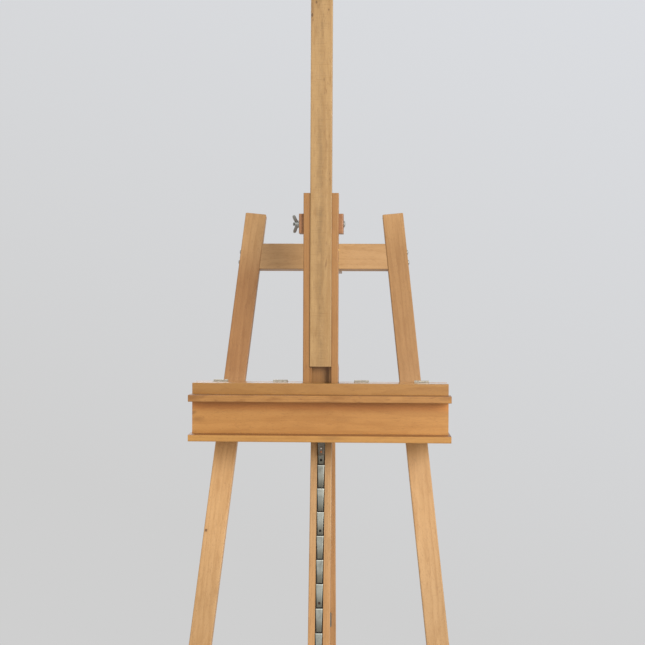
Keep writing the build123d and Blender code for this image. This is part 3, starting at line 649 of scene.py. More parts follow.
b = bmesh.new()
ctr = b.verts.new((0, 0, 0))
prev = [ctr]
NR, NA = 10, 96
rows = []
for i in range(1, NR + 1):
    rr = 1.2 * i / NR
    rows.append([b.verts.new((rr * math.cos(2 * math.pi * a / NA), rr * math.sin(2 * math.pi * a / NA), 0)) for a in range(NA)])
for a in range(NA):
    b.faces.new((ctr, rows[0][a], rows[0][(a + 1) % NA]))
for p_, q_ in zip(rows, rows[1:]):
    for a in range(NA):
        b.faces.new((p_[a], q_[a], q_[(a + 1) % NA], p_[(a + 1) % NA]))
fm = bpy.data.meshes.new("studio_floor")
b.to_mesh(fm)
b.free()
floor = bpy.data.objects.new("studio_floor", fm)
scene.collection.objects.link(floor)
floor.location = (0, 0, -0.0004)
kf = Net("floor_pale")
tcf = kf.n("ShaderNodeTexCoord")
fn = kf.noise(tcf.outputs["Object"], 3.0, 4.0, 0.6)
kf.put(kf.bsdf.inputs["Base Color"], kf.mix(fn, lin(190, 190, 190), lin(199, 199, 200)))
kf.bsdf.inputs["Roughness"].default_value = 0.7
tr = kf.n("ShaderNodeBsdfTransparent")
mx = kf.n("ShaderNodeMixShader")
rad = kf.vmath("LENGTH", tcf.outputs["Object"])
kf.put(mx.inputs[0], kf.step(rad, 0.44, 0.785))
kf.t.links.new(kf.bsdf.outputs[0], mx.inputs[1])
kf.t.links.new(tr.outputs[0], mx.inputs[2])
kf.t.links.new(mx.outputs[0], kf.out.inputs[0])
fm.materials.append(kf.m)

# ------------------------------------------------------------------ wood
T_LEG = (0.485, 0.272, 0.108)
T_TRAY = (0.470, 0.222, 0.056)
T_MAST = (0.388, 0.228, 0.087)
# T_CHAN: darker, browner tone is painted shade for the channel cheeks recessed behind the mast; the holder block and
# lip share it
T_CHAN = (0.312, 0.144, 0.039)
T_CARR = (0.260, 0.115, 0.044)


def leg_dir(sign):
    return Vector((-sign * LEG_SPLAY, 0, 0)) + UP_U


def leg_wood_with_painted_shade(sign, seed, spots):
    name = "left_front_leg" if sign < 0 else "right_front_leg"
    # upper band: painted shadow of a picture standing on the ledge, deepest on the left leg; lower band: darker towards
    # the bottom
    if sign < 0:
        zones = [(0.84, 0.96, 1.15, 1.28, (0.60, 0.50, 0.40)), (-1.0, -0.9, 0.40, 0.62, (0.86, 0.86, 0.86))]
    else:
        zones = [(0.84, 0.96, 1.22, 1.42, (0.71, 0.65, 0.55)), (-1.0, -0.9, 0.40, 0.62, (0.88, 0.89, 0.90))]
    return wood("beech_" + name, scale3(T_LEG, 1.09 if sign < 0 else 1.01), leg_dir(sign), name, seed, spots=spots, pith=(0.03 * sign, 0.07),
                ring=0.0055, zones=zones, coat=0.08, rough=0.47, mottle=0.5, contrast=1.2)


mats = {}
mats["left_front_leg"] = leg_wood_with_painted_shade(-1, 12, [(-0.2673, -0.2472, 0.5735, 0.0036, 1.3, 0.9), (-0.262, -0.226, 0.742, 0.0022, 2.5, 0.5)])
mats["right_front_leg"] = leg_wood_with_painted_shade(1, 17, [(0.262, -0.27, 0.62, 0.0025, 2.5, 0.55)])
mats["centre_post"] = wood("beech_post", scale3(T_LEG, 0.88), UP_U, "centre_post", 23, pith=(0.07, 0.05), ring=0.005, coat=0.06, rough=0.5, mottle=0.55, contrast=1.2,
                          zones=[(-1.0, -0.9, 0.42, 0.62, (1.02, 0.94, 0.84))])
mats["rear_leg"] = wood("beech_rear_leg", (0.520, 0.262, 0.098), (0, sn2, -cs2), "rear_leg", 29, pith=(0.02, 0.06), coat=0.08)
mats["head_crossbar"] = wood("beech_head_bar", scale3(T_LEG, 0.92), (1, 0, 0), "head_crossbar", 31)
mats["lower_crossbar"] = wood("beech_lower_bar", scale3(T_LEG, 0.95), (1, 0, 0), "lower_crossbar", 37)
for i, n in enumerate(("rear_hinge_block_left", "rear_hinge_block_right")):
    mats[n] = wood("beech_" + n, scale3(T_LEG, 0.84), BACK_B, n, 41 + i)
# zones band just under the ledge: painted shade, deeper orange where the ledge's shadow falls on the board's top
mats["tray_front_board"] = wood("beech_front_board", T_TRAY, (1, 0, 0), "tray_front_board", 47, contrast=1.0, pith=(0.02, 0.16), ring=0.007, upper=(0.893, 0.898, (0.74, 0.76, 0.76)), zones=[(0.853, 0.870, 0.884, 0.887, (1.03, 0.84, 0.66))],
                                stains=[(-0.293, -0.294, 0.853, 0.008, 2.0, 0.85), (-0.28, -0.294, 0.84, 0.012, 2.0, 0.4), (0.05, -0.294, 0.842, 0.010, 3.0, 0.18)])
mats["tray_back_board"] = wood("beech_back_board", scale3(T_TRAY, 0.98), (1, 0, 0), "tray_back_board", 53, pith=(0.12, 0.03))
# top factor: upward face darkened, part dust and part painted shade at the foot of the front board
mats["tray_bottom_board"] = wood("beech_bottom_board", (0.440, 0.212, 0.050), (1, 0, 0), "tray_bottom_board", 59, pith=(0.03, 0.10), top=(0.64, 0.56, 0.72),
                                 stains=[(0.03, -0.336, 0.802, 0.012, 3.0, 0.35)], wear=0.8)
# top factor: the ledge's top darkened, part dust and part painted shade cast by the back rail
mats["canvas_ledge"] = wood("beech_ledge", (0.352, 0.161, 0.040), (1, 0, 0), "canvas_ledge", 61, pith=(0.08, 0.05), wear=1.0, worn=(0.30, 0.52), speck=0.7, mottle=0.95, contrast=1.3, top=(0.76, 0.68, 0.60),
                            stains=[(-0.29, -0.336, 0.895, 0.014, 2.0, 0.55), (-0.17, -0.336, 0.898, 0.010, 3.0, 0.35), (0.285, -0.336, 0.895, 0.010, 2.0, 0.4), (0.02, -0.336, 0.884, 0.008, 4.0, 0.3)])
for i, n in enumerate(("tray_end_left", "tray_end_right")):
    mats[n] = wood("beech_" + n, scale3(T_TRAY, 0.95), (0, 1, 0), n, 67 + i)
for i, n in enumerate(("brush_lid_left", "brush_lid_right")):
    mats[n] = wood("beech_" + n, scale3(T_TRAY, 1.02), (1, 0, 0), n, 71 + i, rough=0.24, coat=1.0, bump=0.3, pith=(0.1, 0.02))
for i, n in enumerate(("channel_cheek_left", "channel_cheek_right", "channel_back")):
    mats[n] = wood("beech_" + n, T_CHAN, (0, 0, 1), n, 79 + i, pith=(0.06, 0.04))
mats["upper_mast"] = wood("beech_mast", T_MAST, (0, 0, 1), "upper_mast", 89, pith=(0.012, 0.10), ring=0.006, contrast=1.2, ticks=0.75, speck=0.6, mottle=0.75, wear=0.9, worn=(0.34, 0.6),
                          bands=[(0, -0.0015, 0.007, 0.010, 1.0), (0, 0.0005, 0.0008, 0.0004, 0.35)],
                          spots=[(-0.0220, -0.278, 1.7674, 0.0030, 1.9, 0.85), (-0.0124, -0.278, 1.7970, 0.0028, 1.6, 0.75), (0.0159, -0.278, 1.7796, 0.0024, 1.3, 0.6), (-0.0203, -0.278, 1.756, 0.0018, 2.0, 0.5), (0.006, -0.278, 1.62, 0.0020, 3.0, 0.4)],
                          stains=[(-0.021, -0.278, 1.787, 0.006, 6.0, 0.5)])
# dark red-brown yoke tone: painted shade, the yoke sitting recessed behind the channel block
mats["clamp_yoke"] = wood("beech_yoke", scale3(T_CARR, 1.25), (1, 0, 0), "clamp_yoke", 97)
for i, n in enumerate(("carriage_cheek_left", "carriage_cheek_right", "carriage_front_plate", "carriage_back_plate", "tilt_arm_left", "tilt_arm_right")):
    mats[n] = wood("beech_" + n, scale3(T_CARR, 1.35), UP_U if "tilt" not in n else (0, 0, 1), n, 101 + i)
mats["holder_block"] = wood("beech_holder_block", scale3(T_CHAN, 1.0), (1, 0, 0), "holder_block", 113)
mats["holder_lip"] = wood("beech_holder_lip", scale3(T_CHAN, 1.05), (1, 0, 0), "holder_lip", 117)
for n, m in mats.items():
    o = NODES[n]
    o.data.materials.clear()
    o.data.materials.append(m)
    for p in o.data.polygons:
        p.material_index = 0

# ------------------------------------------------------------------ metal
M_RACK = metal("steel_rack_old", lin(159, 161, 151), rough=0.46, metallic=0.72, tarnish=0.75, rust=0.25, wear=0.55, along=(1, 1, 0), seed=4, bright=1.4, teeth=True)
# near-black base strip beside and between the teeth: painted shade of the groove, with some rust
M_RACKBASE = metal("steel_rack_base", lin(46, 42, 35), rough=0.55, metallic=0.6, tarnish=0.7, rust=0.4, wear=0.3, seed=9)
M_DARK = metal("steel_dark", lin(70, 64, 56), rough=0.5, metallic=0.7, tarnish=0.7, rust=0.4, wear=0.5, seed=12)
M_PAWL = metal("steel_pawl", lin(138, 134, 123), rough=0.48, metallic=0.7, tarnish=0.6, rust=0.25, wear=0.6, seed=14)
M_STEEL = metal("steel_zinc", lin(168, 168, 162), rough=0.36, metallic=0.9, tarnish=0.45, rust=0.08, wear=0.5, seed=15, bright=1.3)
M_STEEL2 = metal("steel_stay", lin(140, 138, 130), rough=0.42, metallic=0.88, tarnish=0.5, rust=0.15, wear=0.5, seed=18, bright=1.4)
# near-black matte finish: painted shade of the pierced holes, on rim and screw alike
M_SCREW_HOLE_SHADE = metal("steel_screw_black_painted_hole_shade", lin(22, 17, 13), rough=0.75, metallic=0.1, tarnish=0.7, rust=0.5, wear=0.25, seed=33)
M_NICKEL = metal("nickel_hinge", lin(196, 188, 172), rough=0.38, metallic=0.85, tarnish=0.4, wear=0.4, seed=36, bright=1.2)
M_BRASS = metal("brass_old", lin(190, 150, 82), rough=0.34, metallic=0.95, tarnish=0.5, wear=0.5, seed=21, bright=1.3)
M_SILVER = metal("rivet_bright", lin(222, 222, 218), rough=0.28, metallic=0.9, tarnish=0.2, wear=0.3, seed=24, bright=1.1)
M_COPPER = metal("rivet_copper", lin(206, 128, 78), rough=0.32, metallic=0.92, tarnish=0.25, wear=0.4, seed=27, bright=1.2)
M_BLACK = plastic("phenolic_black", lin(26, 25, 25))

# rack: a rebated strip with pressed teeth, each a hollow tongue open at its top
TOOTH_REST, PITCH = -127.1, 55.0
teeth = [TOOTH_REST + PITCH * i for i in range(-8, 8)]
bm = bmesh.new()
base = plate(basis(P(0, 3.9, 0), (1, 0, 0), FRONT_N), rrect(-8.7, -647.5, 8.7, 298.5, 1.0), 0.0, 1.3, 0.25, 1)
join(bm, base, 1)
rnd = random.Random(5)
for u in teeth:
    sh = bmesh.new()
    NT, XS = 14, [-1.0, -1.0, -0.985, -0.93, -0.82, -0.5, 0.0, 0.5, 0.82, 0.93, 0.985, 1.0, 1.0]
    dent = rnd.uniform(-0.12, 0.12)
    grid = []
    for i in range(NT + 1):
        t = i / NT
        w = 7.95 + (5.70 - 7.95) * t
        top = -2.35 + 4.45 * t
        if t < 0.08:
            top += 0.35 * (1 - t / 0.08) ** 2 * 0.5
        row = []
        for kx, fx in enumerate(XS):
            if kx in (0, len(XS) - 1):
                bb = 2.55
            else:
                bb = top + (0.0, 0.75, 0.28, 0.07, 0.0, dent * 0.3, dent, dent * 0.3, 0.0, 0.07, 0.28, 0.75, 0.0)[kx] * (1 - 0.4 * t)
            bb = min(bb, 2.55)
            row.append(sh.verts.new(P(fx * w, bb, u - 51.2 * t)))
        grid.append(row)
    for i in range(NT):
        for kx in range(len(XS) - 1):
            sh.faces.new((grid[i][kx], grid[i][kx + 1], grid[i + 1][kx + 1], grid[i + 1][kx]))
    bmesh.ops.recalc_face_normals(sh, faces=sh.faces)
    nrm = sum((f.normal for f in sh.faces), Vector())
    if nrm.dot(FRONT_N) < 0:
        for f in sh.faces:
            f.normal_flip()
    bmesh.ops.solidify(sh, geom=list(sh.faces), thickness=0.0011)
    join(bm, sh, 0)
HOLES = [teeth[i] - 42.5 for i in range(2, len(teeth), 3)]
rack = finish_piece(bm, "ratchet_strip_pressed", "ratchet_strip", [M_RACK, M_RACKBASE], smooth=40)

# every third tooth is pierced near its root: cupped rim with a slotted screw sunk in it; rim and screw get a near-black
# finish, painted shade of the hole
bm = bmesh.new()
n_face = (BACK_B * -51.2 - UP_U * 4.45).normalized()
for i, hu in enumerate(HOLES):
    bs = -2.35 + 4.45 * 42.5 / 51.2
    M = basis(P(0, bs, hu), (1, 0, 0), n_face)
    join(bm, lathe(M, [(1.7, -0.5), (3.0, -0.5), (3.05, 0.1), (2.85, 0.34), (2.45, 0.32), (2.05, 0.0), (1.7, -0.5)], 32))
    join(bm, slotted_head(M @ Matrix.Translation((0, 0, -0.00012)), 2.1, 0.45, 0.5 + i * 0.9))
finish_piece(bm, "ratchet_slotted_screws", "ratchet_screws", M_SCREW_HOLE_SHADE)

# coach bolt heads on the legs' outer edges
kk = math.sqrt(1 + LEG_SPLAY ** 2)
for node, us in (("head_bolts", (320.0, 346.0)), ("lower_bolts", (-695.0, -665.0))):
    bm = bmesh.new()
    for sign in (-1, 1):
        for u in us:
            x = sign * (LEG_X - LEG_SPLAY * u + LEG_W / 2 * kk + 0.05)
            nrm = Vector((sign / kk, 0, 0)) + UP_U * (LEG_SPLAY / kk)
            M = basis(P(x, LEG_T / 2, u), BACK_B, nrm)
            join(bm, washer(M, 6.9, 2.5, 0.7))
            join(bm, dome(M @ Matrix.Translation((0, 0, 0.0006)), 5.8, 2.7, 0.5))
    finish_piece(bm, node + "_domed", node, M_STEEL)

# screws with slotted heads
bm = bmesh.new()
for i, (x, u) in enumerate((x, u) for x in (-34.5, 34.5) for u in (316, 349)):
    join(bm, slotted_head(basis(P(x, 1.5, u), (1, 0, 0), FRONT_N), 4.4, 1.5, 0.4 + i * 1.1))
finish_piece(bm, "hinge_block_slotted_screws", "hinge_block_screws", M_BRASS)
CAR_U0, CAR_U1 = -118.0, 60.0
bm = bmesh.new()
for i, (x, u) in enumerate((x, u) for x in (-32.4, 32.4) for u in (CAR_U0 + 20, (CAR_U0 + CAR_U1) / 2, CAR_U1 - 20)):
    join(bm, slotted_head(basis(P(x, 32 + 14.68, u), (1, 0, 0), -FRONT_N), 4.0, 1.4, 0.2 + i * 0.8))
finish_piece(bm, "carriage_slotted_screws", "carriage_screws", M_BRASS)

# rear hinge bolt
HB, HS = 100.5, 332.0
bm = bmesh.new()
Mh = basis(P(0, HB, HS), BACK_B, (1, 0, 0))
join(bm, lathe(Mh, [(0, -43.6), (3.95, -43.6), (3.95, 43.5), (0, 43.5)], 32))
join(bm, washer(Mh @ Matrix.Translation((0, 0, -0.0444)), 9.0, 3.0, 0.8))
Mn = basis(P(-44.4, HB, HS), BACK_B, (-1, 0, 0))
join(bm, dome(Mn, 8.0, 3.4, 0.8))
join(bm, washer(Mh @ Matrix.Translation((0, 0, 0.0436)), 9.0, 3.0, 0.9))
join(bm, hexnut(Mh @ Matrix.Translation((0, 0, 0.0445)), 7.4, 4.1))
join(bm, threaded(Mh, 3.9, 48.0, 49.4 + 0.0, 0.5))
finish_piece(bm, "rear_hinge_bolt_and_nut", "rear_hinge_bolt", M_STEEL)

# tilt pivot and locking bolts
PVY, PVZ = Y0 + 131.0, LEDGE_Z - 90.0
dy, dz = PVY - POST_Y, PVZ - LEDGE_Z
pb, pu = dy * c - dz * s, dy * s + dz * c
lock_u = pu + 62.0
CH_OUT = 25 + 14.4
ARM_OUT = CH_OUT + 12.4
bm = bmesh.new()
Mp = basis(P(0, pb, pu), BACK_B, (1, 0, 0))
join(bm, lathe(Mp, [(0, -ARM_OUT - 0.6), (3.95, -ARM_OUT - 0.6), (3.95, ARM_OUT + 0.3), (0, ARM_OUT + 0.3)], 32))
join(bm, dome(basis(P(-ARM_OUT - 0.4, pb, pu), BACK_B, (-1, 0, 0)), 7.8, 3.5, 0.8))
join(bm, hexnut(Mp @ Matrix.Translation((0, 0, (ARM_OUT + 0.4) / 1000)), 7.0, 3.3))
join(bm, threaded(Mp, 3.9, ARM_OUT + 3.6, ARM_OUT + 5.2, 0.5))
finish_piece(bm, "tilt_pivot_bolt_and_nut", "tilt_pivot_bolt", M_STEEL)
bm = bmesh.new()
Ml = basis(P(0, pb, lock_u), BACK_B, (1, 0, 0))
join(bm, lathe(Ml, [(0, -ARM_OUT - 0.2), (3.95, -ARM_OUT - 0.2), (3.95, ARM_OUT + 0.2), (0, ARM_OUT + 0.2)], 32))
join(bm, threaded(Ml, 3.95, ARM_OUT + 0.2, ARM_OUT + 14.9, 1.25))
join(bm, threaded(basis(P(0, pb, lock_u), BACK_B, (-1, 0, 0)), 3.95, ARM_OUT + 0.2, ARM_OUT + 14.9, 1.25))
finish_piece(bm, "tilt_lock_stud", "tilt_lock_bolt", M_STEEL)


def wing_nut(name, node, M, body_mat=M_STEEL):
    """Pressed wing nut. M: z out of the seat along the bolt, y the direction of the wings."""
    bm = bmesh.new()
    join(bm, lathe(M, [(4.1, 0.0), (8.0, 0.0), (8.5, 0.5), (8.4, 2.2), (7.7, 3.2), (7.3, 8.6), (6.6, 9.8), (4.6, 10.0), (4.1, 9.4), (4.1, 0.0)], 40))
    for e in (1, -1):
        pts = [(1.9, 3.2), (8.9, 3.2), (11.0, 8.0), (15.0, 19.0), (15.2, 23.4), (13.2, 25.6), (9.6, 25.2), (7.2, 21.0), (4.6, 12.0), (1.9, 8.0)]
        pts = smooth_outline([(p[1] * e, p[0]) for p in pts], 2)
        b = bmesh.new()
        # rows across the thickness, thin at the wing tip, thick at its root
        L = len(pts)
        lay = []
        for tz, k_ in ((-1.0, 0.90), (-0.75, 0.98), (0.0, 1.0), (0.75, 0.98), (1.0, 0.90)):
            ring = []
            cxm = sum(p[0] for p in pts) / L
            cym = sum(p[1] for p in pts) / L
            for px, py in pts:
                th = 1.75 - 0.75 * min(1.0, max(0.0, (abs(px) - 6) / 16))
                qx, qy = cxm + (px - cxm) * k_, cym + (py - cym) * k_
                ring.append(b.verts.new(M @ (Vector((tz * th, qx, qy)) / 1000)))
            lay.append(ring)
        for a_, d_ in zip(lay, lay[1:]):
            for i in range(L):
                j = (i + 1) % L
                b.faces.new((a_[i], a_[j], d_[j], d_[i]))
        b.faces.new(lay[0][::-1])
        b.faces.new(lay[-1])
        join(bm, b)
    return finish_piece(bm, name, node, body_mat, smooth=42)


YBY, YBZ = Y0 + 95.5, LEDGE_Z + 390.5
def lean_dir(deg):
    a = math.radians(deg)
    return Vector((0, -math.sin(a), math.cos(a)))
def nut_basis(x, y, z, sign, lean):
    up_ = lean_dir(lean)
    zz = Vector((sign, 0, 0))
    xx = up_.cross(zz)
    m = Matrix((xx, up_, zz)).transposed().to_4x4()
    m.translation = W(x, y, z)
    return m
wing_nut("yoke_wing_nut_cast", "yoke_wing_nut", nut_basis(-YOKE_W / 2 - 0.4, YBY, YBZ, -1, 40))
LY, LZ = POST_Y + pb * c + lock_u * s, LEDGE_Z - pb * s + lock_u * c
wing_nut("tilt_wing_nut_left_cast", "tilt_wing_nut_left", nut_basis(-ARM_OUT - 0.4, LY, LZ, -1, 14))
wing_nut("tilt_wing_nut_right_cast", "tilt_wing_nut_right", nut_basis(ARM_OUT + 0.4, LY, LZ, 1, 14))

bm = bmesh.new()
Mb = basis(W(0, YBY, YBZ), (0, 1, 0), (1, 0, 0))
join(bm, lathe(Mb, [(0, -YOKE_W / 2), (3.95, -YOKE_W / 2), (3.95, YOKE_W / 2), (0, YOKE_W / 2)], 32))
join(bm, threaded(basis(W(0, YBY, YBZ), (0, 1, 0), (-1, 0, 0)), 3.95, YOKE_W / 2, YOKE_W / 2 + 14.9, 1.25))
join(bm, washer(Mb @ Matrix.Translation((0, 0, YOKE_W / 2000)), 8.9, 3.0, 0.9))
join(bm, dome(Mb @ Matrix.Translation((0, 0, (YOKE_W / 2 + 0.8) / 1000)), 7.4, 3.1, 0.6))
finish_piece(bm, "yoke_coach_bolt", "yoke_bolt", M_STEEL)

# pawl, its pin and rivets
PB, PU = -10.0, -107.0
NOSE_R = 21.2
nose = lambda q: (q, PU - math.sqrt(NOSE_R ** 2 - (q - PB) ** 2))
outl = [nose(1.0), (1.0, -121.6), (-4.6, -110.0)] + [(PB + 5.4 * math.cos(math.radians(a)), PU + 5.4 * math.sin(math.radians(a))) for a in (0, 30, 60, 90, 120, 150, 180)] + \
       [(-14.6, -110.6), (-7.9, -127.5), (-7.9, -154.5), (-9.9, -158.6), (-8.2, -159.8), (-5.4, -155.4), nose(-5.4), nose(-3.8), nose(-2.0), nose(-0.5)]
Ms = Matrix((BACK_B, UP_U, Vector((-1, 0, 0)) if BACK_B.cross(UP_U).x < 0 else Vector((1, 0, 0)))).transposed().to_4x4()
Ms.translation = P(0, 0, 0)
bm = bmesh.new()
join(bm, plate(Ms, outl, -6.25, 6.25, 0.5, 2))
join(bm, lathe(basis(P(0, PB, PU), BACK_B, (1, 0, 0)), [(2.6, -6.3), (5.2, -6.3), (5.4, -6.1), (5.4, 6.1), (5.2, 6.3), (2.6, 6.3), (2.6, -6.3)], 36))
finish_piece(bm, "pawl_forged", "pawl", M_PAWL, smooth=40)
bm = bmesh.new()
join(bm, dome(basis(P(0, -7.9, -142.6), (1, 0, 0), FRONT_N), 2.1, 1.1, 0.2))
for f in bm.faces:
    f.material_index = 0
join(bm, dome(basis(P(0, -7.9, -151.2), (1, 0, 0), FRONT_N), 2.1, 1.1, 0.2), 1)
finish_piece(bm, "pawl_rivet_heads", "pawl_rivets", [M_SILVER, M_COPPER])
bm = bmesh.new()
e_ = CH_OUT - 0.1
join(bm, lathe(basis(P(0, PB, PU), BACK_B, (1, 0, 0)), [(0, -e_), (2.1, -e_), (2.5, -e_ + 0.4), (2.5, e_ - 0.4), (2.1, e_), (0, e_)], 28))
finish_piece(bm, "pawl_pin_turned", "pawl_pin", M_STEEL)

# lid hinges
HX_Y, HX_Z = Y0 + 104.0, LEDGE_Z + RAIL_H + 2.5
TOPZ = LEDGE_Z + RAIL_H + 0.02
for side_name, sign in (("left", -1), ("right", 1)):
    bm = bmesh.new()
    for i, x in enumerate((95.0, 235.0)):
        xc = sign * x
        M = basis(W(xc, Y0 + 90.0, TOPZ), (1, 0, 0), (0, 0, 1))
        out_ = [(-17, 1.5), (-15.5, 0), (15.5, 0), (17, 1.5), (17, 13.7), (8.4, 13.7), (8.4, 11.0), (-8.4, 11.0), (-8.4, 13.7), (-17, 13.7)]
        join(bm, plate(M, out_, 0.0, 1.05, 0.22, 1))
        for dx0 in (-17.0, 8.4):
            Mk = basis(W(xc + dx0, HX_Y, HX_Z), (0, 1, 0), (1, 0, 0))
            join(bm, lathe(Mk, [(0, 0.0), (1.9, 0.0), (2.2, 0.3), (2.2, 8.3), (1.9, 8.6), (0, 8.6)], 28))
        for j, sx in enumerate((-11.5, 0.0, 11.5)):
            join(bm, slotted_head(basis(W(xc + sx, Y0 + 95.2, TOPZ + 1.0), (1, 0, 0), (0, 0, 1)), 2.1, 0.55, i + j * 1.3))
    finish_piece(bm, "lid_hinge_leaf_" + side_name, "lid_leaves_" + side_name, M_NICKEL)
bm = bmesh.new()
for i, x in enumerate((-235.0, -95.0, 95.0, 235.0)):
    M = basis(W(x, Y0 + 104.4, TOPZ), (1, 0, 0), (0, 0, 1))
    out_ = [(-8.0, 0.0), (8.0, 0.0), (8.0, 2.6), (17, 2.6), (17, 8.8), (15.6, 10.2), (-15.6, 10.2), (-17, 8.8), (-17, 2.6), (-8.0, 2.6)]
    join(bm, plate(M, out_, 0.0, 1.05, 0.22, 1))
    Mk = basis(W(x - 8.0, HX_Y, HX_Z), (0, 1, 0), (1, 0, 0))
    join(bm, lathe(Mk, [(0, 0.0), (1.9, 0.0), (2.2, 0.3), (2.2, 15.7), (1.9, 16.0), (0, 16.0)], 28))
    for j, sx in enumerate((-12.0, 0.0, 12.0)):
        join(bm, slotted_head(basis(W(x + sx, Y0 + 110.9, TOPZ + 1.0), (1, 0, 0), (0, 0, 1)), 2.1, 0.55, i * 0.7 + j))
finish_piece(bm, "lid_hinge_fixed_leaf", "lid_hinge_leaves", M_NICKEL)

# folding stay
AB_, AS_ = 58.0, -680.0
SO, SL = 25.5, 1012.0
ang = math.radians(LEAN + SPREAD)
BB = HB + SL * math.sin(ang) - SO * math.cos(ang)
BS = HS - SL * math.cos(ang) - SO * math.sin(ang)
pA, pB = P(0, AB_, AS_), P(0, BB, BS)
pK = (pA + pB) / 2


def stay_bar(name, node, pivot, x0, head):
    d = (pK - pivot)
    L = d.length * 1000
    M = basis(pivot + Vector((x0 / 1000, 0, 0)), d, (1, 0, 0))
    out_ = arc(0, 0, 7.5, 90, 270, 14) + arc(L, 0, 7.5, -90, 90, 14)
    bm = bmesh.new()
    join(bm, plate(M, out_, 0.0, 3.0, 0.55, 2))
    # pressed rib along the bar, and the rivet at the knuckle
    sgn = 1 if head > 0 else -1
    zr = 2.9 if head > 0 else 0.1
    rib = arc(28, 0, 2.4, 90, 270, 8) + arc(L - 28, 0, 2.4, -90, 90, 8)
    join(bm, plate(M, rib, min(zr, zr + 0.5 * sgn), max(zr, zr + 0.5 * sgn), 0.2, 1))
    Mr = basis(pivot + Vector((x0 / 1000, 0, 0)) + d + Vector(((3.0 if head > 0 else 0.0) / 1000, 0, 0)), d, (sgn, 0, 0))
    join(bm, dome(Mr, 5.0, 1.9, 0.3))
    finish_piece(bm, name, node, M_STEEL2)


stay_bar("stay_front_bar_pressed", "stay_front_bar", pA, 0.4, 1)
stay_bar("stay_rear_bar_pressed", "stay_rear_bar", pB, -3.4, -1)

bm = bmesh.new()
M = basis(P(0, 23.5 + 0.1, AS_), (1, 0, 0), -FRONT_N)
bm2 = plate(basis(P(0, 23.5, AS_), (1, 0, 0), BACK_B), rrect(-13, -23, 13, 23, 3.0), 0.0, 3.0, 0.5, 2)
join(bm, bm2)
ear = [(24.5, AS_ - 12)] + [(AB_ + 8 * math.cos(math.radians(a)), AS_ + 8 * math.sin(math.radians(a))) for a in range(-80, 81, 20)] + [(24.5, AS_ + 12)]
Me = Matrix((BACK_B, UP_U, BACK_B.cross(UP_U))).transposed().to_4x4()
Me.translation = P(0, 0, 0)
sx_ = 1 if BACK_B.cross(UP_U).x > 0 else -1
lo_, hi_ = sorted((3.7 * sx_, 6.7 * sx_))
join(bm, plate(Me, ear, lo_, hi_, 0.5, 2))
join(bm, lathe(basis(P(0.1, AB_, AS_), BACK_B, (1, 0, 0)), [(0, 0), (2.95, 0), (2.95, 7.4), (2.2, 8.4), (0, 8.4)], 28))
for i, u in enumerate((-16, 16)):
    join(bm, slotted_head(basis(P(-6.5, 26.4, AS_ + u), (1, 0, 0), BACK_B), 3.2, 1.0, 0.6 + i))
finish_piece(bm, "stay_bracket_front_pressed", "stay_bracket_front", M_STEEL2)

HYm, HZm = P(0, HB, HS).y, P(0, HB, HS).z


def RP(x, f, l):
    """Point f ahead of the rear leg's centre line and l down it."""
    return Vector((x / 1000, HYm + (f * cs2 + l * sn2) / 1000, HZm + (f * sn2 - l * cs2) / 1000))


RF = Vector((0, cs2, sn2))
RD = Vector((0, sn2, -cs2))
bm = bmesh.new()
Mq = basis(RP(0, -(LEG_T / 2 + 0.05), SL), (1, 0, 0), -RF)
join(bm, plate(Mq, rrect(-13, -23, 13, 23, 3.0), 0.0, 3.0, 0.5, 2))
ear = [(-LEG_T / 2 - 1.0, SL - 12)] + [(-SO - 8 * math.cos(math.radians(a)), SL + 8 * math.sin(math.radians(a))) for a in range(-80, 81, 20)] + [(-LEG_T / 2 - 1.0, SL + 12)]
Me = Matrix((RF, RD, RF.cross(RD))).transposed().to_4x4()
Me.translation = RP(0, 0, 0)
sx_ = 1 if RF.cross(RD).x > 0 else -1
lo_, hi_ = sorted((-3.7 * sx_, -6.7 * sx_))
join(bm, plate(Me, ear, lo_, hi_, 0.5, 2))
join(bm, lathe(basis(RP(-0.1, -SO, SL), RF, (-1, 0, 0)), [(0, 0), (2.95, 0), (2.95, 7.4), (2.2, 8.4), (0, 8.4)], 28))
for i, dl in enumerate((-16, 16)):
    join(bm, slotted_head(basis(RP(5.5, -(LEG_T / 2 + 2.95), SL + dl), (1, 0, 0), -RF), 3.2, 1.0, 0.6 + i))
finish_piece(bm, "stay_bracket_rear_pressed", "stay_bracket_rear", M_STEEL2)

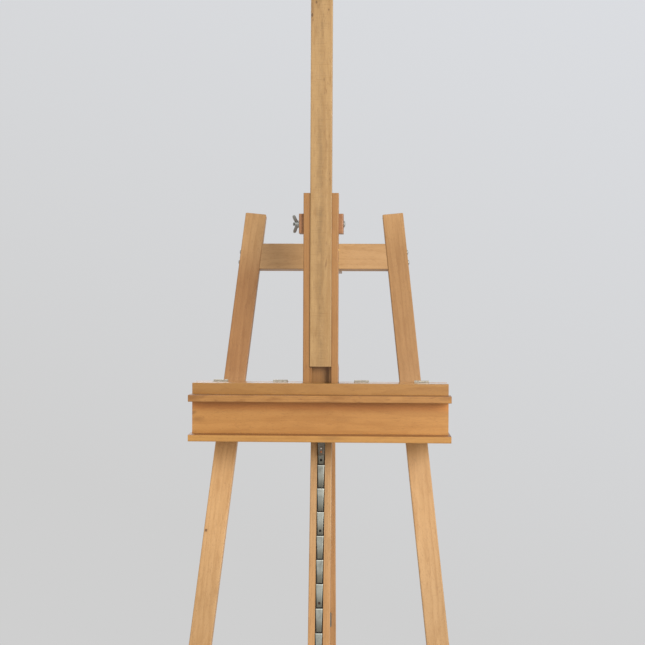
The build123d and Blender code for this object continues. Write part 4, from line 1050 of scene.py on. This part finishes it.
# upper holder's knob
HM = LEDGE_Z + 980.0
bm = bmesh.new()
Mk = basis(W(0, Y0 + 87.0, HM), (1, 0, 0), (0, 1, 0))
join(bm, threaded(Mk, 3.95, 0.0, 25.9, 1.25), 1)
join(bm, lathe(Mk, [(0, 17.0), (7.2, 17.0), (7.9, 17.7), (7.9, 22.5), (9.6, 24.4), (9.6, 26.0), (0, 26.0)], 36), 1)
lob = []
N = 90
for i in range(N):
    a = 2 * math.pi * i / N
    base_r = 14.5
    best = base_r
    for q in range(5):
        ca = 2 * math.pi * q / 5
        dd = 15.0 * math.cos(a - ca)
        disc = 25.0 - (15.0 * math.sin(a - ca)) ** 2
        if disc > 0:
            best = max(best, dd + math.sqrt(disc))
    lob.append(best)
for _ in range(3):
    lob = [(lob[i - 1] + 2 * lob[i] + lob[(i + 1) % N]) / 4 for i in range(N)]
b = bmesh.new()
lay = []
for sc_, h_ in ((0.0, 23.2), (0.70, 23.2), (0.90, 23.4), (0.98, 24.6), (1.0, 27.0), (1.0, 32.0), (0.975, 34.4), (0.90, 36.0), (0.72, 36.8), (0.55, 36.9), (0.45, 36.3), (0.0, 36.2)):
    if sc_ == 0.0:
        lay.append([b.verts.new(Mk @ (Vector((0, 0, h_)) / 1000))])
    else:
        blend = 1.0 if sc_ > 0.8 else 0.4
        lay.append([b.verts.new(Mk @ (Vector((math.cos(2 * math.pi * i / N), math.sin(2 * math.pi * i / N), 0)) * ((lob[i] * blend + 15.6 * (1 - blend)) * sc_ / 1000) + Mk.to_3x3().inverted() @ Vector((0, 0, 0)) + Vector((0, 0, h_ / 1000)))) for i in range(N)])
for a_, d_ in zip(lay, lay[1:]):
    for i in range(N):
        j = (i + 1) % N
        if len(a_) == 1:
            b.faces.new((a_[0], d_[i], d_[j]))
        elif len(d_) == 1:
            b.faces.new((a_[i], a_[j], d_[0]))
        else:
            b.faces.new((a_[i], a_[j], d_[j], d_[i]))
join(bm, b, 0)
finish_piece(bm, "holder_knob_lobed", "holder_knob", [M_BLACK, M_STEEL], smooth=50)
